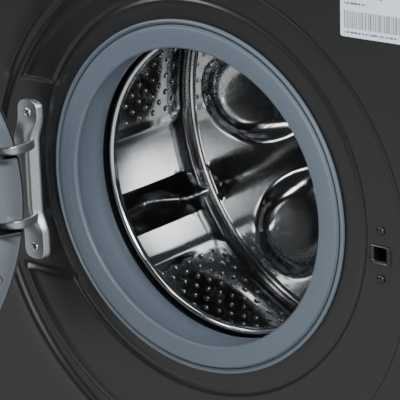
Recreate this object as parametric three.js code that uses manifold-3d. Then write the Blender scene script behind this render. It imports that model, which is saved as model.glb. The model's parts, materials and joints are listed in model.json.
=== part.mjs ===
// Front load washing machine with its door open, as an assembly of separate pieces.
// Millimetres. X runs to the right seen from the front, Y into the machine, Z up.
// Pieces on the drum axis are drawn around the centre of the porthole, on the front panel's plane.
import * as THREE from "three";
import { mergeVertices } from "three/addons/utils/BufferGeometryUtils.js";
import Module from "manifold-3d";

const wasm = await Module();
wasm.setup();

// Cabinet
const CABINET_WIDTH = 595;
const CABINET_HEIGHT = 850;
const CABINET_DEPTH = 520;
const FOOT_HEIGHT = 20;
const FOOT_INSET = 50;
const SHEET = 1.5;
const PANEL = 2;
const LID_THICKNESS = 22;
const LID_OVERHANG = 6;
const LID_CORNER = 12;
const FASCIA_HEIGHT = 116;
const FASCIA_PROUD = 6;
const FASCIA_REACH = 24;
const MOULDING = 3;
const FLANGE = 18;
const PLINTH = 18;
const PAN_WALL = 30;
const GAP = 0.3;
const STUD_RADIUS = 5;
const FOOT_RADIUS = 20;

// Porthole, gasket and the pressed rings of the front panel
const PORT_HEIGHT = 425;
const PORT_RADIUS = 170;
const GASKET_OUTER = 178.5;
const LIP_RADIUS = 150.3;
const GROOVE_RADIUS = 200;
const GROOVE_WIDTH = 4;
const GROOVE_DEPTH = 1;
const DISH_RADIUS = 249.5;
const DISH_X = -3.4;
const DISH_DROP = 24.6;
const CLAMP_WIRE = 1;

// Drum and tub
const DRUM_RADIUS = 250;
const DRUM_FRONT = 58;
const DRUM_DEPTH = 249;
const DRUM_SHEET = 1.2;
const DRUM_LIP = 151.3;
const DRUM_ANGLE = 205;
const LIFTER_COUNT = 3;
const LIFTER_HEIGHT = 48;
const LIFTER_WIDTH = 46;
const PETAL_COUNT = 6;
const PETAL_HEIGHT = 12;
const TUB_SPACE = 12.8;
const TUB_WALL = 4;
const TUB_FLANGE = 8;
const NECK_RADIUS = 172;
const NECK_FRONT = 36;
const SEAM = 150;
const SHAFT_RADIUS = 17.5;
const PULLEY_SHAFT = 12.5;
const BEARING_RADIUS = 31;
const BEARING_LENGTH = 64;
const HUB_WALL = 25;

// Drive
const PULLEY_RADIUS = 140;
const PULLEY_WIDTH = 16;
const MOTOR_RADIUS = 52;
const MOTOR_LENGTH = 170;
const MOTOR_PULLEY = 10;
const MOTOR_X = 40;
const BELT_THICKNESS = 2.5;
const BELT_WIDTH = 12;

// Door and its hinge, drawn closed
const DOOR_OPEN = 115;
const DOOR_RADIUS = 244;
const DOOR_FRONT = -48;
const DOOR_BACK = -8;
const DOOR_WALL = 3;
const PLATE_THICKNESS = 4;
const GLASS_RADIUS = 140.3;
const GLASS_DEPTH = 103;
const GLASS_WALL = 5;
const COLLAR_RADIUS = 158;
const PIVOT_X = -230;
const PIVOT_Y = -33;
const PIN_RADIUS = 4;
const EYE_RADIUS = 8;
const HINGE_CENTRE = -17.6;
const HINGE_SCREWS = 146;
const HINGE_SCREW_X = -215;
const HINGE_ARMS = 80;
const ARM_HEIGHT = 10;
const ARM_WIDTH = 10;
const ARM_SLACK = 1.5;
const PIN_END = 2;
const POCKET_DEPTH = 3;
const POCKET_HEIGHT = 206;
const POCKET_MIDDLE = -12;
const BRACKET_THICKNESS = 4.7;
const SCREW_HEAD = 5;
const SCREW_DOME = 2.5;
const SCREW_SHANK = 2.2;

// Door lock and hook
const LATCH_X = 218;
const LATCH_Z = -15;
const LATCH_WIDTH = 21.5;
const LATCH_HEIGHT = 16.5;
const LATCH_SCREWS = 47;
const LOCK_WIDTH = 44;
const LOCK_HEIGHT = 68;
const LOCK_DEPTH = 38;
const HOOK_REACH = 16;
const HOOK_HEIGHT = 10;
const HOOK_PIVOT = -22;

// Controls and detergent drawer
const DRAWER_LEFT = -275;
const DRAWER_WIDTH = 170;
const DRAWER_HEIGHT = 84;
const DRAWER_LENGTH = 210;
const TRAY_HEIGHT = 60;
const TRAY_WALL = 2.5;
const TRAY_SIDE = 4;
const TRAY_LIFT = 2;
const BOX_LENGTH = 227;
const KNOB_RADIUS = 30;
const KNOB_DEPTH = 22;
const SPINDLE = 5;
const DISPLAY_LEFT = 60;
const DISPLAY_WIDTH = 135;
const DISPLAY_HEIGHT = 44;
const BUTTON_X = 240;
const BUTTON_RADIUS = 9;

// Water and power connections on the back
const VALVE_X = 220;
const VALVE_HEIGHT = 770;
const VALVE_THREAD = 13;
const SPIGOT_RADIUS = 14;
const SPIGOT_HEIGHT = 130;
const GLAND_RADIUS = 8;

// Drain, suspension and small pieces
const PUMP_X = 206;
const PUMP_HEIGHT = 92;
const PUMP_RADIUS = 38;
const PUMP_LENGTH = 100;
const CAP_RADIUS = 30;
const FLAP_WIDTH = 108;
const FLAP_HEIGHT = 66;
const HOSE_RADIUS = 20;
const HOSE_BORE = 16;
const SUMP_X = 100;
const SUMP_Y = 100;
const SPRING_Y = 252;
const SPRING_COIL = 9;
const SPRING_WIRE = 1.6;
const DAMPER_Y = 220;
const DAMPER_RADIUS = 14;
const HEATER_RADIUS = 3;
const HEATER_SPREAD = 25;
const WEIGHT_WIDTH = 62;
const LABEL_WIDTH = 90;
const LABEL_HEIGHT = 50;
const LABEL_LEFT = 175;
const LABEL_BOTTOM = 186;

// Levels and depths that follow from those
const SIDE = CABINET_WIDTH / 2;
const LID_BOTTOM = CABINET_HEIGHT - LID_THICKNESS;
const FASCIA_BOTTOM = LID_BOTTOM - GAP - FASCIA_HEIGHT;
const PANEL_TOP = FASCIA_BOTTOM - GAP;
const PANEL_BOTTOM = FOOT_HEIGHT + PLINTH;
const PAN_TOP = FOOT_HEIGHT + PANEL;
const DRUM_BACK = DRUM_FRONT + DRUM_DEPTH;
const TUB_INNER = DRUM_RADIUS + DRUM_SHEET + TUB_SPACE;
const TUB_OUTER = TUB_INNER + TUB_WALL;
const SPRING_X = TUB_OUTER - 13;
const DAMPER_X = TUB_OUTER - 78;
const WEIGHT_OUTER = TUB_OUTER - 10;
const WEIGHT_INNER = WEIGHT_OUTER - WEIGHT_WIDTH;
const TUB_BACK = DRUM_BACK + 41;
const BEARING_FRONT = TUB_BACK + 9;
const BEARING_BACK = BEARING_FRONT + BEARING_LENGTH;
const PULLEY_FRONT = BEARING_BACK + 9;
const MOTOR_Z = -(TUB_OUTER + TUB_FLANGE + 2 + MOTOR_RADIUS);
const DISH_Z = -DISH_DROP;
const DRAWER_MIDDLE = FASCIA_BOTTOM + FASCIA_HEIGHT / 2;
const REAR_INNER = CABINET_DEPTH - 2 * SHEET - GAP;
const FLAP_BOTTOM = PUMP_HEIGHT - FLAP_HEIGHT / 2;
const SUMP_TOP = -(TUB_OUTER + 7);
const HEATER_Z = -(DRUM_RADIUS + DRUM_SHEET + TUB_INNER) / 2 + 1.5;
const SPRING_LOW = Math.sqrt(TUB_OUTER ** 2 - SPRING_X ** 2) + 30;
const DAMPER_HIGH = -Math.sqrt(TUB_OUTER ** 2 - DAMPER_X ** 2) - 26;

const FINE = 32;
const ROUND = 32;
const COARSE = 12;

// ---- Solids -------------------------------------------------------------------------------

function cleaned(geometry) {
  const bare = geometry.clone();
  for (const name of Object.keys(bare.attributes)) {
    if (name !== "position") bare.deleteAttribute(name);
  }
  bare.clearGroups();
  const merged = mergeVertices(bare, 1e-4);
  const index = merged.index.array;
  const kept = [];
  for (let i = 0; i < index.length; i += 3) {
    const [a, b, c] = [index[i], index[i + 1], index[i + 2]];
    if (a !== b && b !== c && a !== c) kept.push(a, b, c);
  }
  merged.setIndex(kept);
  return merged;
}

function solidOf(geometry) {
  const mesh = cleaned(geometry);
  return new wasm.Manifold(new wasm.Mesh({
    numProp: 3,
    vertProperties: new Float32Array(mesh.attributes.position.array),
    triVerts: new Uint32Array(mesh.index.array),
  }));
}

function geometryOf(solid) {
  const mesh = solid.getMesh();
  const geometry = new THREE.BufferGeometry();
  geometry.setAttribute("position", new THREE.BufferAttribute(mesh.vertProperties, 3));
  geometry.setIndex(new THREE.BufferAttribute(mesh.triVerts, 1));
  return geometry;
}

function cut(base, ...tools) {
  const result = tools.reduce((solid, tool) => solid.subtract(solidOf(tool)), solidOf(base));
  return geometryOf(result);
}

function join(base, ...others) {
  const result = others.reduce((solid, other) => solid.add(solidOf(other)), solidOf(base));
  return geometryOf(result);
}

function common(base, ...others) {
  const result = others.reduce((solid, other) => solid.intersect(solidOf(other)), solidOf(base));
  return geometryOf(result);
}

function block(x0, x1, y0, y1, z0, z1) {
  const geometry = new THREE.BoxGeometry(x1 - x0, y1 - y0, z1 - z0);
  return geometry.translate((x0 + x1) / 2, (y0 + y1) / 2, (z0 + z1) / 2);
}

// A ring or disc turned about the Y axis from a closed outline of [radius, y] points.
function turned(outline, segments = ROUND) {
  let area = 0;
  outline.forEach(([r0, y0], i) => {
    const [r1, y1] = outline[(i + 1) % outline.length];
    area += r0 * y1 - r1 * y0;
  });
  const points = outline.map(([r, y]) => new THREE.Vector2(r, y));
  if (area < 0) points.reverse();
  const onAxis = points.some((point) => point.x === 0);
  if (!onAxis) points.push(points[0].clone());
  if (onAxis) {
    while (points[0].x !== 0 || points[points.length - 1].x !== 0) points.push(points.shift());
  }
  return cleaned(new THREE.LatheGeometry(points, segments));
}

function upright(geometry) {
  return geometry.rotateX(Math.PI / 2);
}

function rod(radius, y0, y1, x = 0, z = 0, segments = COARSE) {
  return turned([[0, y0], [radius, y0], [radius, y1], [0, y1]], segments).translate(x, 0, z);
}

function roundedRect(x0, x1, y0, y1, r) {
  const shape = new THREE.Shape();
  shape.moveTo(x0 + r, y0);
  shape.lineTo(x1 - r, y0);
  shape.absarc(x1 - r, y0 + r, r, -Math.PI / 2, 0);
  shape.lineTo(x1, y1 - r);
  shape.absarc(x1 - r, y1 - r, r, 0, Math.PI / 2);
  shape.lineTo(x0 + r, y1);
  shape.absarc(x0 + r, y1 - r, r, Math.PI / 2, Math.PI);
  shape.lineTo(x0, y0 + r);
  shape.absarc(x0 + r, y0 + r, r, Math.PI, 1.5 * Math.PI);
  return shape;
}

function flat(shape, y0, y1, curveSegments = 4) {
  const geometry = new THREE.ExtrudeGeometry(shape, { depth: y1 - y0, bevelEnabled: false, curveSegments });
  return geometry.rotateX(Math.PI / 2).translate(0, y1, 0);
}

function slab(shape, z0, z1, curveSegments = 4) {
  const geometry = new THREE.ExtrudeGeometry(shape, { depth: z1 - z0, bevelEnabled: false, curveSegments });
  return geometry.translate(0, 0, z0);
}

function sector(inner, outer, from, to) {
  const shape = new THREE.Shape();
  shape.absarc(0, 0, outer, from, to, false);
  shape.absarc(0, 0, inner, to, from, true);
  return shape;
}

function polygon(points) {
  return new THREE.Shape(points.map(([x, y]) => new THREE.Vector2(x, y)));
}

function swept(section, points, steps) {
  const extrudePath = new THREE.CatmullRomCurve3(points.map((p) => new THREE.Vector3(...p)));
  return cleaned(new THREE.ExtrudeGeometry(section, { steps, extrudePath, curveSegments: 2 }));
}

function disc(radius, holeRadius = 0) {
  const shape = new THREE.Shape().absarc(0, 0, radius, 0, 2 * Math.PI);
  if (holeRadius > 0) shape.holes.push(new THREE.Path().absarc(0, 0, holeRadius, 0, 2 * Math.PI));
  return shape;
}

// ---- The scene ----------------------------------------------------------------------------

const machine = new THREE.Group();
const port = new THREE.Group();
port.position.z = PORT_HEIGHT;
machine.add(port);
const drum = new THREE.Group();
port.add(drum);
const door = new THREE.Group();
door.position.set(PIVOT_X, PIVOT_Y, 0);
door.rotation.z = -THREE.MathUtils.degToRad(DOOR_OPEN);
port.add(door);

const finishes = {
  graphite: { color: 0x323334, roughness: 0.5, metalness: 0.4 },
  darkPlastic: { color: 0x1d1e20, roughness: 0.45, metalness: 0 },
  greyPlastic: { color: 0xb4b8bb, roughness: 0.5, metalness: 0 },
  rubber: { color: 0x5f6c78, roughness: 0.75, metalness: 0 },
  stainless: { color: 0xb9bcbe, roughness: 0.16, metalness: 1 },
  castZinc: { color: 0x9da0a1, roughness: 0.42, metalness: 0.9 },
  steel: { color: 0x8c8f92, roughness: 0.35, metalness: 0.9 },
  blackSteel: { color: 0x17181a, roughness: 0.4, metalness: 0.6 },
  tubPlastic: { color: 0xa8abad, roughness: 0.6, metalness: 0 },
  concrete: { color: 0x8b8a86, roughness: 0.9, metalness: 0 },
  glass: { color: 0xc9d3d6, roughness: 0.05, metalness: 0 },
  blackRubber: { color: 0x151515, roughness: 0.8, metalness: 0 },
  white: { color: 0xe6e6e4, roughness: 0.6, metalness: 0 },
};

function add(parent, name, finish, geometry) {
  const mesh = new THREE.Mesh(geometry, new THREE.MeshStandardMaterial(finishes[finish]));
  mesh.name = name;
  parent.add(mesh);
  return mesh;
}

// ---- Cabinet ------------------------------------------------------------------------------

// A folded sheet with a return at the front and back, and a tab that the spring hangs from.
function sidePanel() {
  const front = PANEL + GAP;
  const inner = SIDE - SHEET;
  const back = CABINET_DEPTH;
  const sheet = slab(polygon([
    [SIDE, front], [SIDE, back], [SIDE - FLANGE, back], [SIDE - FLANGE, back - SHEET],
    [inner, back - SHEET], [inner, front + SHEET], [SIDE - FLANGE, front + SHEET], [SIDE - FLANGE, front],
  ]), FOOT_HEIGHT, LID_BOTTOM - GAP);
  const top = LID_BOTTOM - 28;
  const tab = block(SPRING_X - 12, SIDE - SHEET / 2, SPRING_Y - 12, SPRING_Y + 12, top, top + 4);
  return join(sheet, tab);
}

function rearPanel() {
  const width = SIDE - SHEET - GAP;
  const plate = block(-width, width, REAR_INNER, REAR_INNER + SHEET, PAN_TOP + GAP, LID_BOTTOM - GAP);
  return cut(
    plate,
    rod(VALVE_THREAD + GAP, REAR_INNER - 5, CABINET_DEPTH, -VALVE_X, VALVE_HEIGHT),
    rod(SPIGOT_RADIUS + GAP, REAR_INNER - 5, CABINET_DEPTH, -VALVE_X, SPIGOT_HEIGHT),
    rod(GLAND_RADIUS + GAP, REAR_INNER - 5, CABINET_DEPTH, VALVE_X, VALVE_HEIGHT),
  );
}

function topLid() {
  const edge = SIDE;
  const outline = roundedRect(-edge, edge, -LID_OVERHANG, CABINET_DEPTH, LID_CORNER);
  return slab(outline, LID_BOTTOM, CABINET_HEIGHT, 5);
}

function basePan() {
  const width = SIDE - SHEET - GAP;
  const front = FLANGE;
  const back = REAR_INNER - GAP;
  const outer = block(-width, width, front, back, FOOT_HEIGHT, FOOT_HEIGHT + PAN_WALL);
  const inner = block(-width + PANEL, width - PANEL, front + PANEL, back - PANEL, PAN_TOP, CABINET_HEIGHT);
  const hole = upright(rod(STUD_RADIUS + GAP, 0, CABINET_HEIGHT));
  const holes = footPlaces().map(([x, y]) => hole.clone().translate(x, y, 0));
  return cut(outer, inner, ...holes);
}

function footPlaces() {
  const x = SIDE - FOOT_INSET;
  const rear = CABINET_DEPTH - FOOT_INSET;
  return [[-x, FOOT_INSET], [x, FOOT_INSET], [-x, rear], [x, rear]];
}

function foot() {
  const neck = FOOT_HEIGHT - GAP;
  const top = PAN_TOP + 12;
  return upright(turned([
    [0, 0], [FOOT_RADIUS, 0], [FOOT_RADIUS, 6], [9, 11],
    [9, neck], [STUD_RADIUS, neck], [STUD_RADIUS, top], [0, top],
  ], COARSE));
}

// The pressed front: a turned-in porthole flange, a groove, an outer crease and the hinge pocket.
function pocketShape(grow, y0, y1) {
  const half = POCKET_HEIGHT / 2 + grow;
  const ring = turned([
    [GROOVE_RADIUS - 3 - grow, y0], [GROOVE_RADIUS - 3 - grow, y1],
    [DISH_RADIUS + 40, y1], [DISH_RADIUS + 40, y0],
  ], FINE);
  const inside = rod(DISH_RADIUS - 3 + grow, y0, y1, DISH_X, DISH_Z, FINE);
  const window = block(-DISH_RADIUS - 60, 0, y0, y1, POCKET_MIDDLE - half, POCKET_MIDDLE + half);
  return common(ring, inside, window);
}

function frontPanel() {
  const low = PANEL_BOTTOM - PORT_HEIGHT;
  const high = PANEL_TOP - PORT_HEIGHT;
  const pan = POCKET_DEPTH + PANEL;
  const half = GROOVE_WIDTH / 2;
  const plate = join(
    block(-SIDE, SIDE, 0, PANEL, low, high),
    turned([[PORT_RADIUS, 1], [PORT_RADIUS, 12], [PORT_RADIUS + PANEL, 12], [PORT_RADIUS + PANEL, 1]], FINE),
    pocketShape(PANEL, 1, pan),
  );
  const groove = turned([
    [GROOVE_RADIUS - half, -1], [GROOVE_RADIUS - half, 0], [GROOVE_RADIUS, GROOVE_DEPTH],
    [GROOVE_RADIUS + half, 0], [GROOVE_RADIUS + half, -1],
  ], FINE);
  const crease = turned([
    [DISH_RADIUS - 1.5, -1], [DISH_RADIUS - 1.5, 0], [DISH_RADIUS, 0.8],
    [DISH_RADIUS + 1.5, 0], [DISH_RADIUS + 1.5, -1],
  ], FINE).translate(DISH_X, 0, DISH_Z);
  const flapGap = 1;
  const flapLow = FLAP_BOTTOM - PORT_HEIGHT;
  return cut(
    plate,
    rod(PORT_RADIUS, -5, PANEL + 20, 0, 0, FINE),
    pocketShape(0, -2, POCKET_DEPTH),
    groove,
    crease,
    latchHole(-1, PANEL + 1),
    ...latchScrewPlaces().map((z) => rod(SCREW_SHANK + GAP, -1, PANEL + 1, LATCH_X, z, 12)),
    ...hingeScrewPlaces().map((z) => rod(SCREW_SHANK + GAP, -1, pan + 1, HINGE_SCREW_X, z, 12)),
    block(
      PUMP_X - FLAP_WIDTH / 2 - flapGap, PUMP_X + FLAP_WIDTH / 2 + flapGap, -1, PANEL + 1,
      flapLow - flapGap, flapLow + FLAP_HEIGHT + flapGap,
    ),
  );
}

function latchHole(y0, y1) {
  const x = LATCH_WIDTH / 2;
  const z = LATCH_HEIGHT / 2;
  return flat(roundedRect(LATCH_X - x, LATCH_X + x, LATCH_Z - z, LATCH_Z + z, 2), y0, y1);
}

function latchScrewPlaces() {
  return [LATCH_Z + LATCH_SCREWS / 2, LATCH_Z - LATCH_SCREWS / 2];
}

function hingeScrewPlaces() {
  return [HINGE_CENTRE + HINGE_SCREWS / 2, HINGE_CENTRE - HINGE_SCREWS / 2];
}

function domeScrew(seat, length) {
  const rim = SCREW_HEAD;
  return turned([
    [0, seat - SCREW_DOME], [rim * 0.5, seat - SCREW_DOME * 0.85], [rim * 0.85, seat - SCREW_DOME * 0.5],
    [rim, seat - 0.3], [rim, seat], [SCREW_SHANK, seat], [SCREW_SHANK, seat + length], [0, seat + length],
  ], 12);
}

function filterFlap() {
  const half = FLAP_WIDTH / 2;
  const outline = roundedRect(PUMP_X - half, PUMP_X + half, FLAP_BOTTOM, FLAP_BOTTOM + FLAP_HEIGHT, 3);
  return flat(outline, 0, PANEL);
}

function ratingLabel() {
  const right = LABEL_LEFT + LABEL_WIDTH;
  const outline = roundedRect(LABEL_LEFT, right, LABEL_BOTTOM, LABEL_BOTTOM + LABEL_HEIGHT, 2);
  return flat(outline, -0.4 - GAP, -GAP);
}

// ---- Fascia, drawer and controls ----------------------------------------------------------

function drawerOpening(grow, y0, y1) {
  const half = DRAWER_HEIGHT / 2 + grow;
  const x = DRAWER_LEFT - grow;
  return block(x, x + DRAWER_WIDTH + 2 * grow, y0, y1, DRAWER_MIDDLE - half, DRAWER_MIDDLE + half);
}

function displayOutline(grow) {
  const half = DISPLAY_HEIGHT / 2 + grow;
  const x = DISPLAY_LEFT - grow;
  return roundedRect(x, x + DISPLAY_WIDTH + 2 * grow, DRAWER_MIDDLE - half, DRAWER_MIDDLE + half, 4 + grow);
}

function controlFascia() {
  const top = FASCIA_BOTTOM + FASCIA_HEIGHT;
  const front = -FASCIA_PROUD;
  const outline = roundedRect(-SIDE, SIDE, FASCIA_BOTTOM, top, 3);
  const skin = flat(outline, front, PANEL);
  const hollow = block(
    -SIDE + MOULDING, SIDE - MOULDING, front + MOULDING, PANEL + 1, FASCIA_BOTTOM + MOULDING, top - MOULDING,
  );
  return cut(
    skin,
    hollow,
    drawerOpening(0, front - 1, PANEL),
    flat(displayOutline(GAP), front - 1, PANEL),
    rod(SPINDLE + 1, front - 1, PANEL, 0, DRAWER_MIDDLE, COARSE),
    rod(BUTTON_RADIUS + GAP, front - 1, PANEL, BUTTON_X, DRAWER_MIDDLE, 24),
  );
}

function displayLens() {
  return flat(displayOutline(0), -FASCIA_PROUD, -FASCIA_PROUD + 2.5);
}

function programmeKnob() {
  const face = -FASCIA_PROUD - GAP - KNOB_DEPTH;
  const seat = -FASCIA_PROUD - GAP;
  const body = turned([
    [0, face], [KNOB_RADIUS - 3, face], [KNOB_RADIUS - 1, face + 2], [KNOB_RADIUS, seat],
    [SPINDLE, seat], [SPINDLE, FASCIA_REACH], [0, FASCIA_REACH],
  ], 32);
  const pointer = block(-1.2, 1.2, face - 0.8, face + 1, KNOB_RADIUS * 0.45, KNOB_RADIUS * 0.85);
  return join(body, pointer).translate(0, 0, DRAWER_MIDDLE);
}

function powerButton() {
  const face = -FASCIA_PROUD - 2.5;
  return turned([
    [0, face], [BUTTON_RADIUS - 1, face], [BUTTON_RADIUS, face + 1], [BUTTON_RADIUS, 2], [0, 2],
  ], 24).translate(BUTTON_X, 0, DRAWER_MIDDLE);
}

function dispenserBox() {
  const front = PANEL + 2 * GAP + SHEET;
  const outer = drawerOpening(TRAY_WALL, front, front + BOX_LENGTH);
  const inner = drawerOpening(0, front - 1, front + BOX_LENGTH - TRAY_WALL);
  const middle = DRAWER_LEFT + DRAWER_WIDTH / 2;
  const low = DRAWER_MIDDLE - DRAWER_HEIGHT / 2;
  const spout = upright(turned([[15, low - 22], [18, low - 22], [18, low], [15, low]], COARSE));
  const bore = upright(rod(15, low - 40, low + 5));
  const y = front + BOX_LENGTH - 40;
  return cut(join(cut(outer, inner), spout.translate(middle, y, 0)), bore.translate(middle, y, 0));
}

function trayPockets() {
  const walls = 4;
  const inner = DRAWER_WIDTH - 2 * TRAY_SIDE - walls * TRAY_WALL;
  const width = inner / 3;
  const first = DRAWER_LEFT + TRAY_SIDE + TRAY_WALL;
  return [0, 1, 2].map((i) => first + i * (width + TRAY_WALL)).map((x) => [x, x + width]);
}

function detergentDrawer() {
  const front = 3 + GAP;
  const back = front + DRAWER_LENGTH;
  const low = DRAWER_MIDDLE - DRAWER_HEIGHT / 2 + TRAY_LIFT;
  const left = DRAWER_LEFT + TRAY_SIDE;
  const right = DRAWER_LEFT + DRAWER_WIDTH - TRAY_SIDE;
  const tray = block(left, right, front, back, low, low + TRAY_HEIGHT);
  const pockets = trayPockets().map(
    ([x0, x1]) => block(x0, x1, front + TRAY_WALL, back - TRAY_WALL, low + TRAY_WALL, low + TRAY_HEIGHT + 1),
  );
  return cut(tray, ...pockets);
}

function drawerFront() {
  const inset = 0.6;
  const half = DRAWER_HEIGHT / 2 - inset;
  const x = DRAWER_LEFT + inset;
  const outline = roundedRect(
    x, DRAWER_LEFT + DRAWER_WIDTH - inset, DRAWER_MIDDLE - half, DRAWER_MIDDLE + half, 3,
  );
  return flat(outline, -FASCIA_PROUD - 1.5, 3);
}

function inletValve() {
  const back = REAR_INNER - GAP;
  const body = block(-20, 20, back - 56, back, -20, 20);
  const thread = turned([
    [9, back - 2], [VALVE_THREAD, back - 2], [VALVE_THREAD, CABINET_DEPTH + 14], [9, CABINET_DEPTH + 14],
  ], COARSE);
  const outlet = upright(rod(6, -34, -18)).translate(0, back - 30, 0);
  return join(body, thread, outlet).translate(-VALVE_X, 0, VALVE_HEIGHT);
}

function drainOutlet() {
  const back = REAR_INNER - GAP;
  return turned([
    [11, back - 40], [SPIGOT_RADIUS, back - 40], [SPIGOT_RADIUS, back - 4], [22, back - 4], [22, back],
    [SPIGOT_RADIUS, back], [SPIGOT_RADIUS, CABINET_DEPTH + 22], [11, CABINET_DEPTH + 22],
  ], COARSE).translate(-VALVE_X, 0, SPIGOT_HEIGHT);
}

function powerInlet() {
  const back = REAR_INNER - GAP;
  return turned([
    [4, back - 16], [13, back - 16], [13, back], [GLAND_RADIUS, back],
    [GLAND_RADIUS - 1, CABINET_DEPTH + 6], [4, CABINET_DEPTH + 6],
  ], COARSE).translate(VALVE_X, 0, VALVE_HEIGHT);
}

// ---- Gasket, tub and weights --------------------------------------------------------------

// The rubber bellows grips the panel's flange in front and seats in the tub's neck behind.
function doorGasket() {
  const grip = PORT_RADIUS - GAP;
  const tail = NECK_RADIUS - GAP;
  return turned([
    [GASKET_OUTER, -0.1 - GAP], [grip, -0.1 - GAP], [grip, 6], [grip - 6, 8], [grip - 5, 22], [grip - 9, 29],
    [grip - 5, NECK_FRONT + 1], [tail, NECK_FRONT + 2], [tail, NECK_FRONT + 10],
    [tail - 5.5, NECK_FRONT + 10], [grip - 9.5, NECK_FRONT + 4], [grip - 13.5, 29],
    [grip - 9.5, 22], [grip - 11.5, 10], [LIP_RADIUS + 1.5, 3],
    [LIP_RADIUS, -1.5], [LIP_RADIUS + 1.7, -4.5], [LIP_RADIUS + 10.5, -6], [GASKET_OUTER - 8, -5.2],
    [GASKET_OUTER - 7, -1.4], [GASKET_OUTER - 3, -1.4], [GASKET_OUTER - 2.5, -4.2], [GASKET_OUTER, -3],
  ], FINE);
}

function gasketClampRing() {
  const middle = GASKET_OUTER - 5;
  const ring = new THREE.TorusGeometry(middle, CLAMP_WIRE, 4, FINE);
  return ring.rotateX(Math.PI / 2).translate(0, -1.6 - CLAMP_WIRE - GAP, 0);
}

function tubFront() {
  const rim = TUB_OUTER + TUB_FLANGE;
  const wall = NECK_FRONT + 10;
  const shell = turned([
    [NECK_RADIUS, NECK_FRONT], [NECK_RADIUS + TUB_WALL, NECK_FRONT], [NECK_RADIUS + TUB_WALL, wall],
    [TUB_OUTER - 6, wall + 4], [TUB_OUTER, wall + 10], [TUB_OUTER, SEAM - 8], [rim, SEAM - 8], [rim, SEAM],
    [TUB_INNER, SEAM], [TUB_INNER, wall + 12], [TUB_INNER - 4, wall + 8], [NECK_RADIUS, wall + 4],
  ]);
  const top = -Math.sqrt(TUB_INNER ** 2 - SUMP_X ** 2) + 12;
  const spout = upright(rod(HOSE_RADIUS, SUMP_TOP, top)).translate(SUMP_X, SUMP_Y, 0);
  const bore = upright(rod(HOSE_BORE, SUMP_TOP - 5, top + 30)).translate(SUMP_X, SUMP_Y, 0);
  const room = rod(TUB_INNER - 0.5, wall + 12, SEAM + 10, 0, 0, ROUND);
  return cut(join(shell, cut(spout, room)), bore);
}

function tubRear() {
  const rim = TUB_OUTER + TUB_FLANGE;
  const seam = SEAM + GAP;
  const wall = TUB_BACK + TUB_WALL + 1;
  const bore = BEARING_RADIUS + GAP;
  const hub = bore + HUB_WALL;
  const shell = turned([
    [TUB_INNER, seam], [TUB_INNER, TUB_BACK - 4], [TUB_INNER - 4, TUB_BACK], [24, TUB_BACK],
    [24, BEARING_FRONT - GAP], [bore, BEARING_FRONT - GAP], [bore, BEARING_BACK + 3], [hub, BEARING_BACK + 3],
    [hub + 4, wall], [TUB_OUTER - 6, wall], [TUB_OUTER, wall - 6],
    [TUB_OUTER, seam + 8], [rim, seam + 8], [rim, seam],
  ]);
  const lugs = [-1, 1].flatMap((side) => [springLug(side), damperLug(side)]);
  const legs = [-1, 1].map((side) => rod(HEATER_RADIUS + GAP, TUB_BACK - 10, wall + 2, side * HEATER_SPREAD, HEATER_Z));
  return cut(join(shell, ...lugs), ...legs);
}

function springLug(side) {
  const x0 = side * SPRING_X - 8;
  const low = Math.sqrt(TUB_OUTER ** 2 - SPRING_X ** 2) - 24;
  const bar = block(x0, x0 + 16, SPRING_Y - 8, SPRING_Y + 8, low, SPRING_LOW);
  return cut(bar, rod(TUB_OUTER - 1.5, SPRING_Y - 10, SPRING_Y + 10, 0, 0, ROUND));
}

function damperLug(side) {
  const x0 = side * DAMPER_X - 8;
  const high = -Math.sqrt(TUB_OUTER ** 2 - DAMPER_X ** 2) + 10;
  const bar = block(x0, x0 + 16, DAMPER_Y - 8, DAMPER_Y + 8, DAMPER_HIGH, high);
  return cut(bar, rod(TUB_OUTER - 1.5, DAMPER_Y - 10, DAMPER_Y + 10, 0, 0, ROUND));
}

function damper(side) {
  const low = PAN_TOP + GAP - PORT_HEIGHT;
  const high = DAMPER_HIGH - GAP;
  const middle = (low + high) / 2 + 10;
  return upright(turned([
    [0, low], [DAMPER_RADIUS, low], [DAMPER_RADIUS, middle], [6, middle + 2], [6, high], [0, high],
  ], 14)).translate(side * DAMPER_X, DAMPER_Y, 0);
}

function suspensionSpring(side) {
  const low = SPRING_LOW + SPRING_WIRE + GAP;
  const high = LID_BOTTOM - 28 - PORT_HEIGHT - SPRING_WIRE - GAP;
  const turns = 5;
  const points = [];
  for (let i = 0; i <= turns * 8; i += 1) {
    const angle = (i / 8) * 2 * Math.PI;
    const rise = low + ((high - low) * i) / (turns * 8);
    points.push([SPRING_COIL * Math.cos(angle), SPRING_COIL * Math.sin(angle), rise]);
  }
  const section = new THREE.Shape().absarc(0, 0, SPRING_WIRE, 0, 2 * Math.PI);
  return swept(section, points, turns * 8).translate(side * SPRING_X, SPRING_Y, 0);
}

function heater() {
  const near = TUB_BACK - 160;
  const far = TUB_BACK + 18;
  const points = [[-HEATER_SPREAD, far, 0], [-HEATER_SPREAD, TUB_BACK - 60, 0], [-HEATER_SPREAD, near, 0]];
  for (let i = 1; i < 6; i += 1) {
    const angle = Math.PI + (i / 6) * Math.PI;
    points.push([HEATER_SPREAD * Math.cos(angle), near + HEATER_SPREAD * Math.sin(angle), 0]);
  }
  points.push([HEATER_SPREAD, near, 0], [HEATER_SPREAD, TUB_BACK - 60, 0], [HEATER_SPREAD, far, 0]);
  const section = new THREE.Shape().absarc(0, 0, HEATER_RADIUS, 0, 2 * Math.PI);
  return swept(section, points, 36).translate(0, 0, HEATER_Z);
}

// The front weight is open on the right, where the door lock sits.
function frontWeight() {
  const from = THREE.MathUtils.degToRad(24);
  const to = THREE.MathUtils.degToRad(324);
  return flat(sector(WEIGHT_INNER, WEIGHT_OUTER, from, to), 14, NECK_FRONT + 10 - GAP, 24);
}

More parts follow.
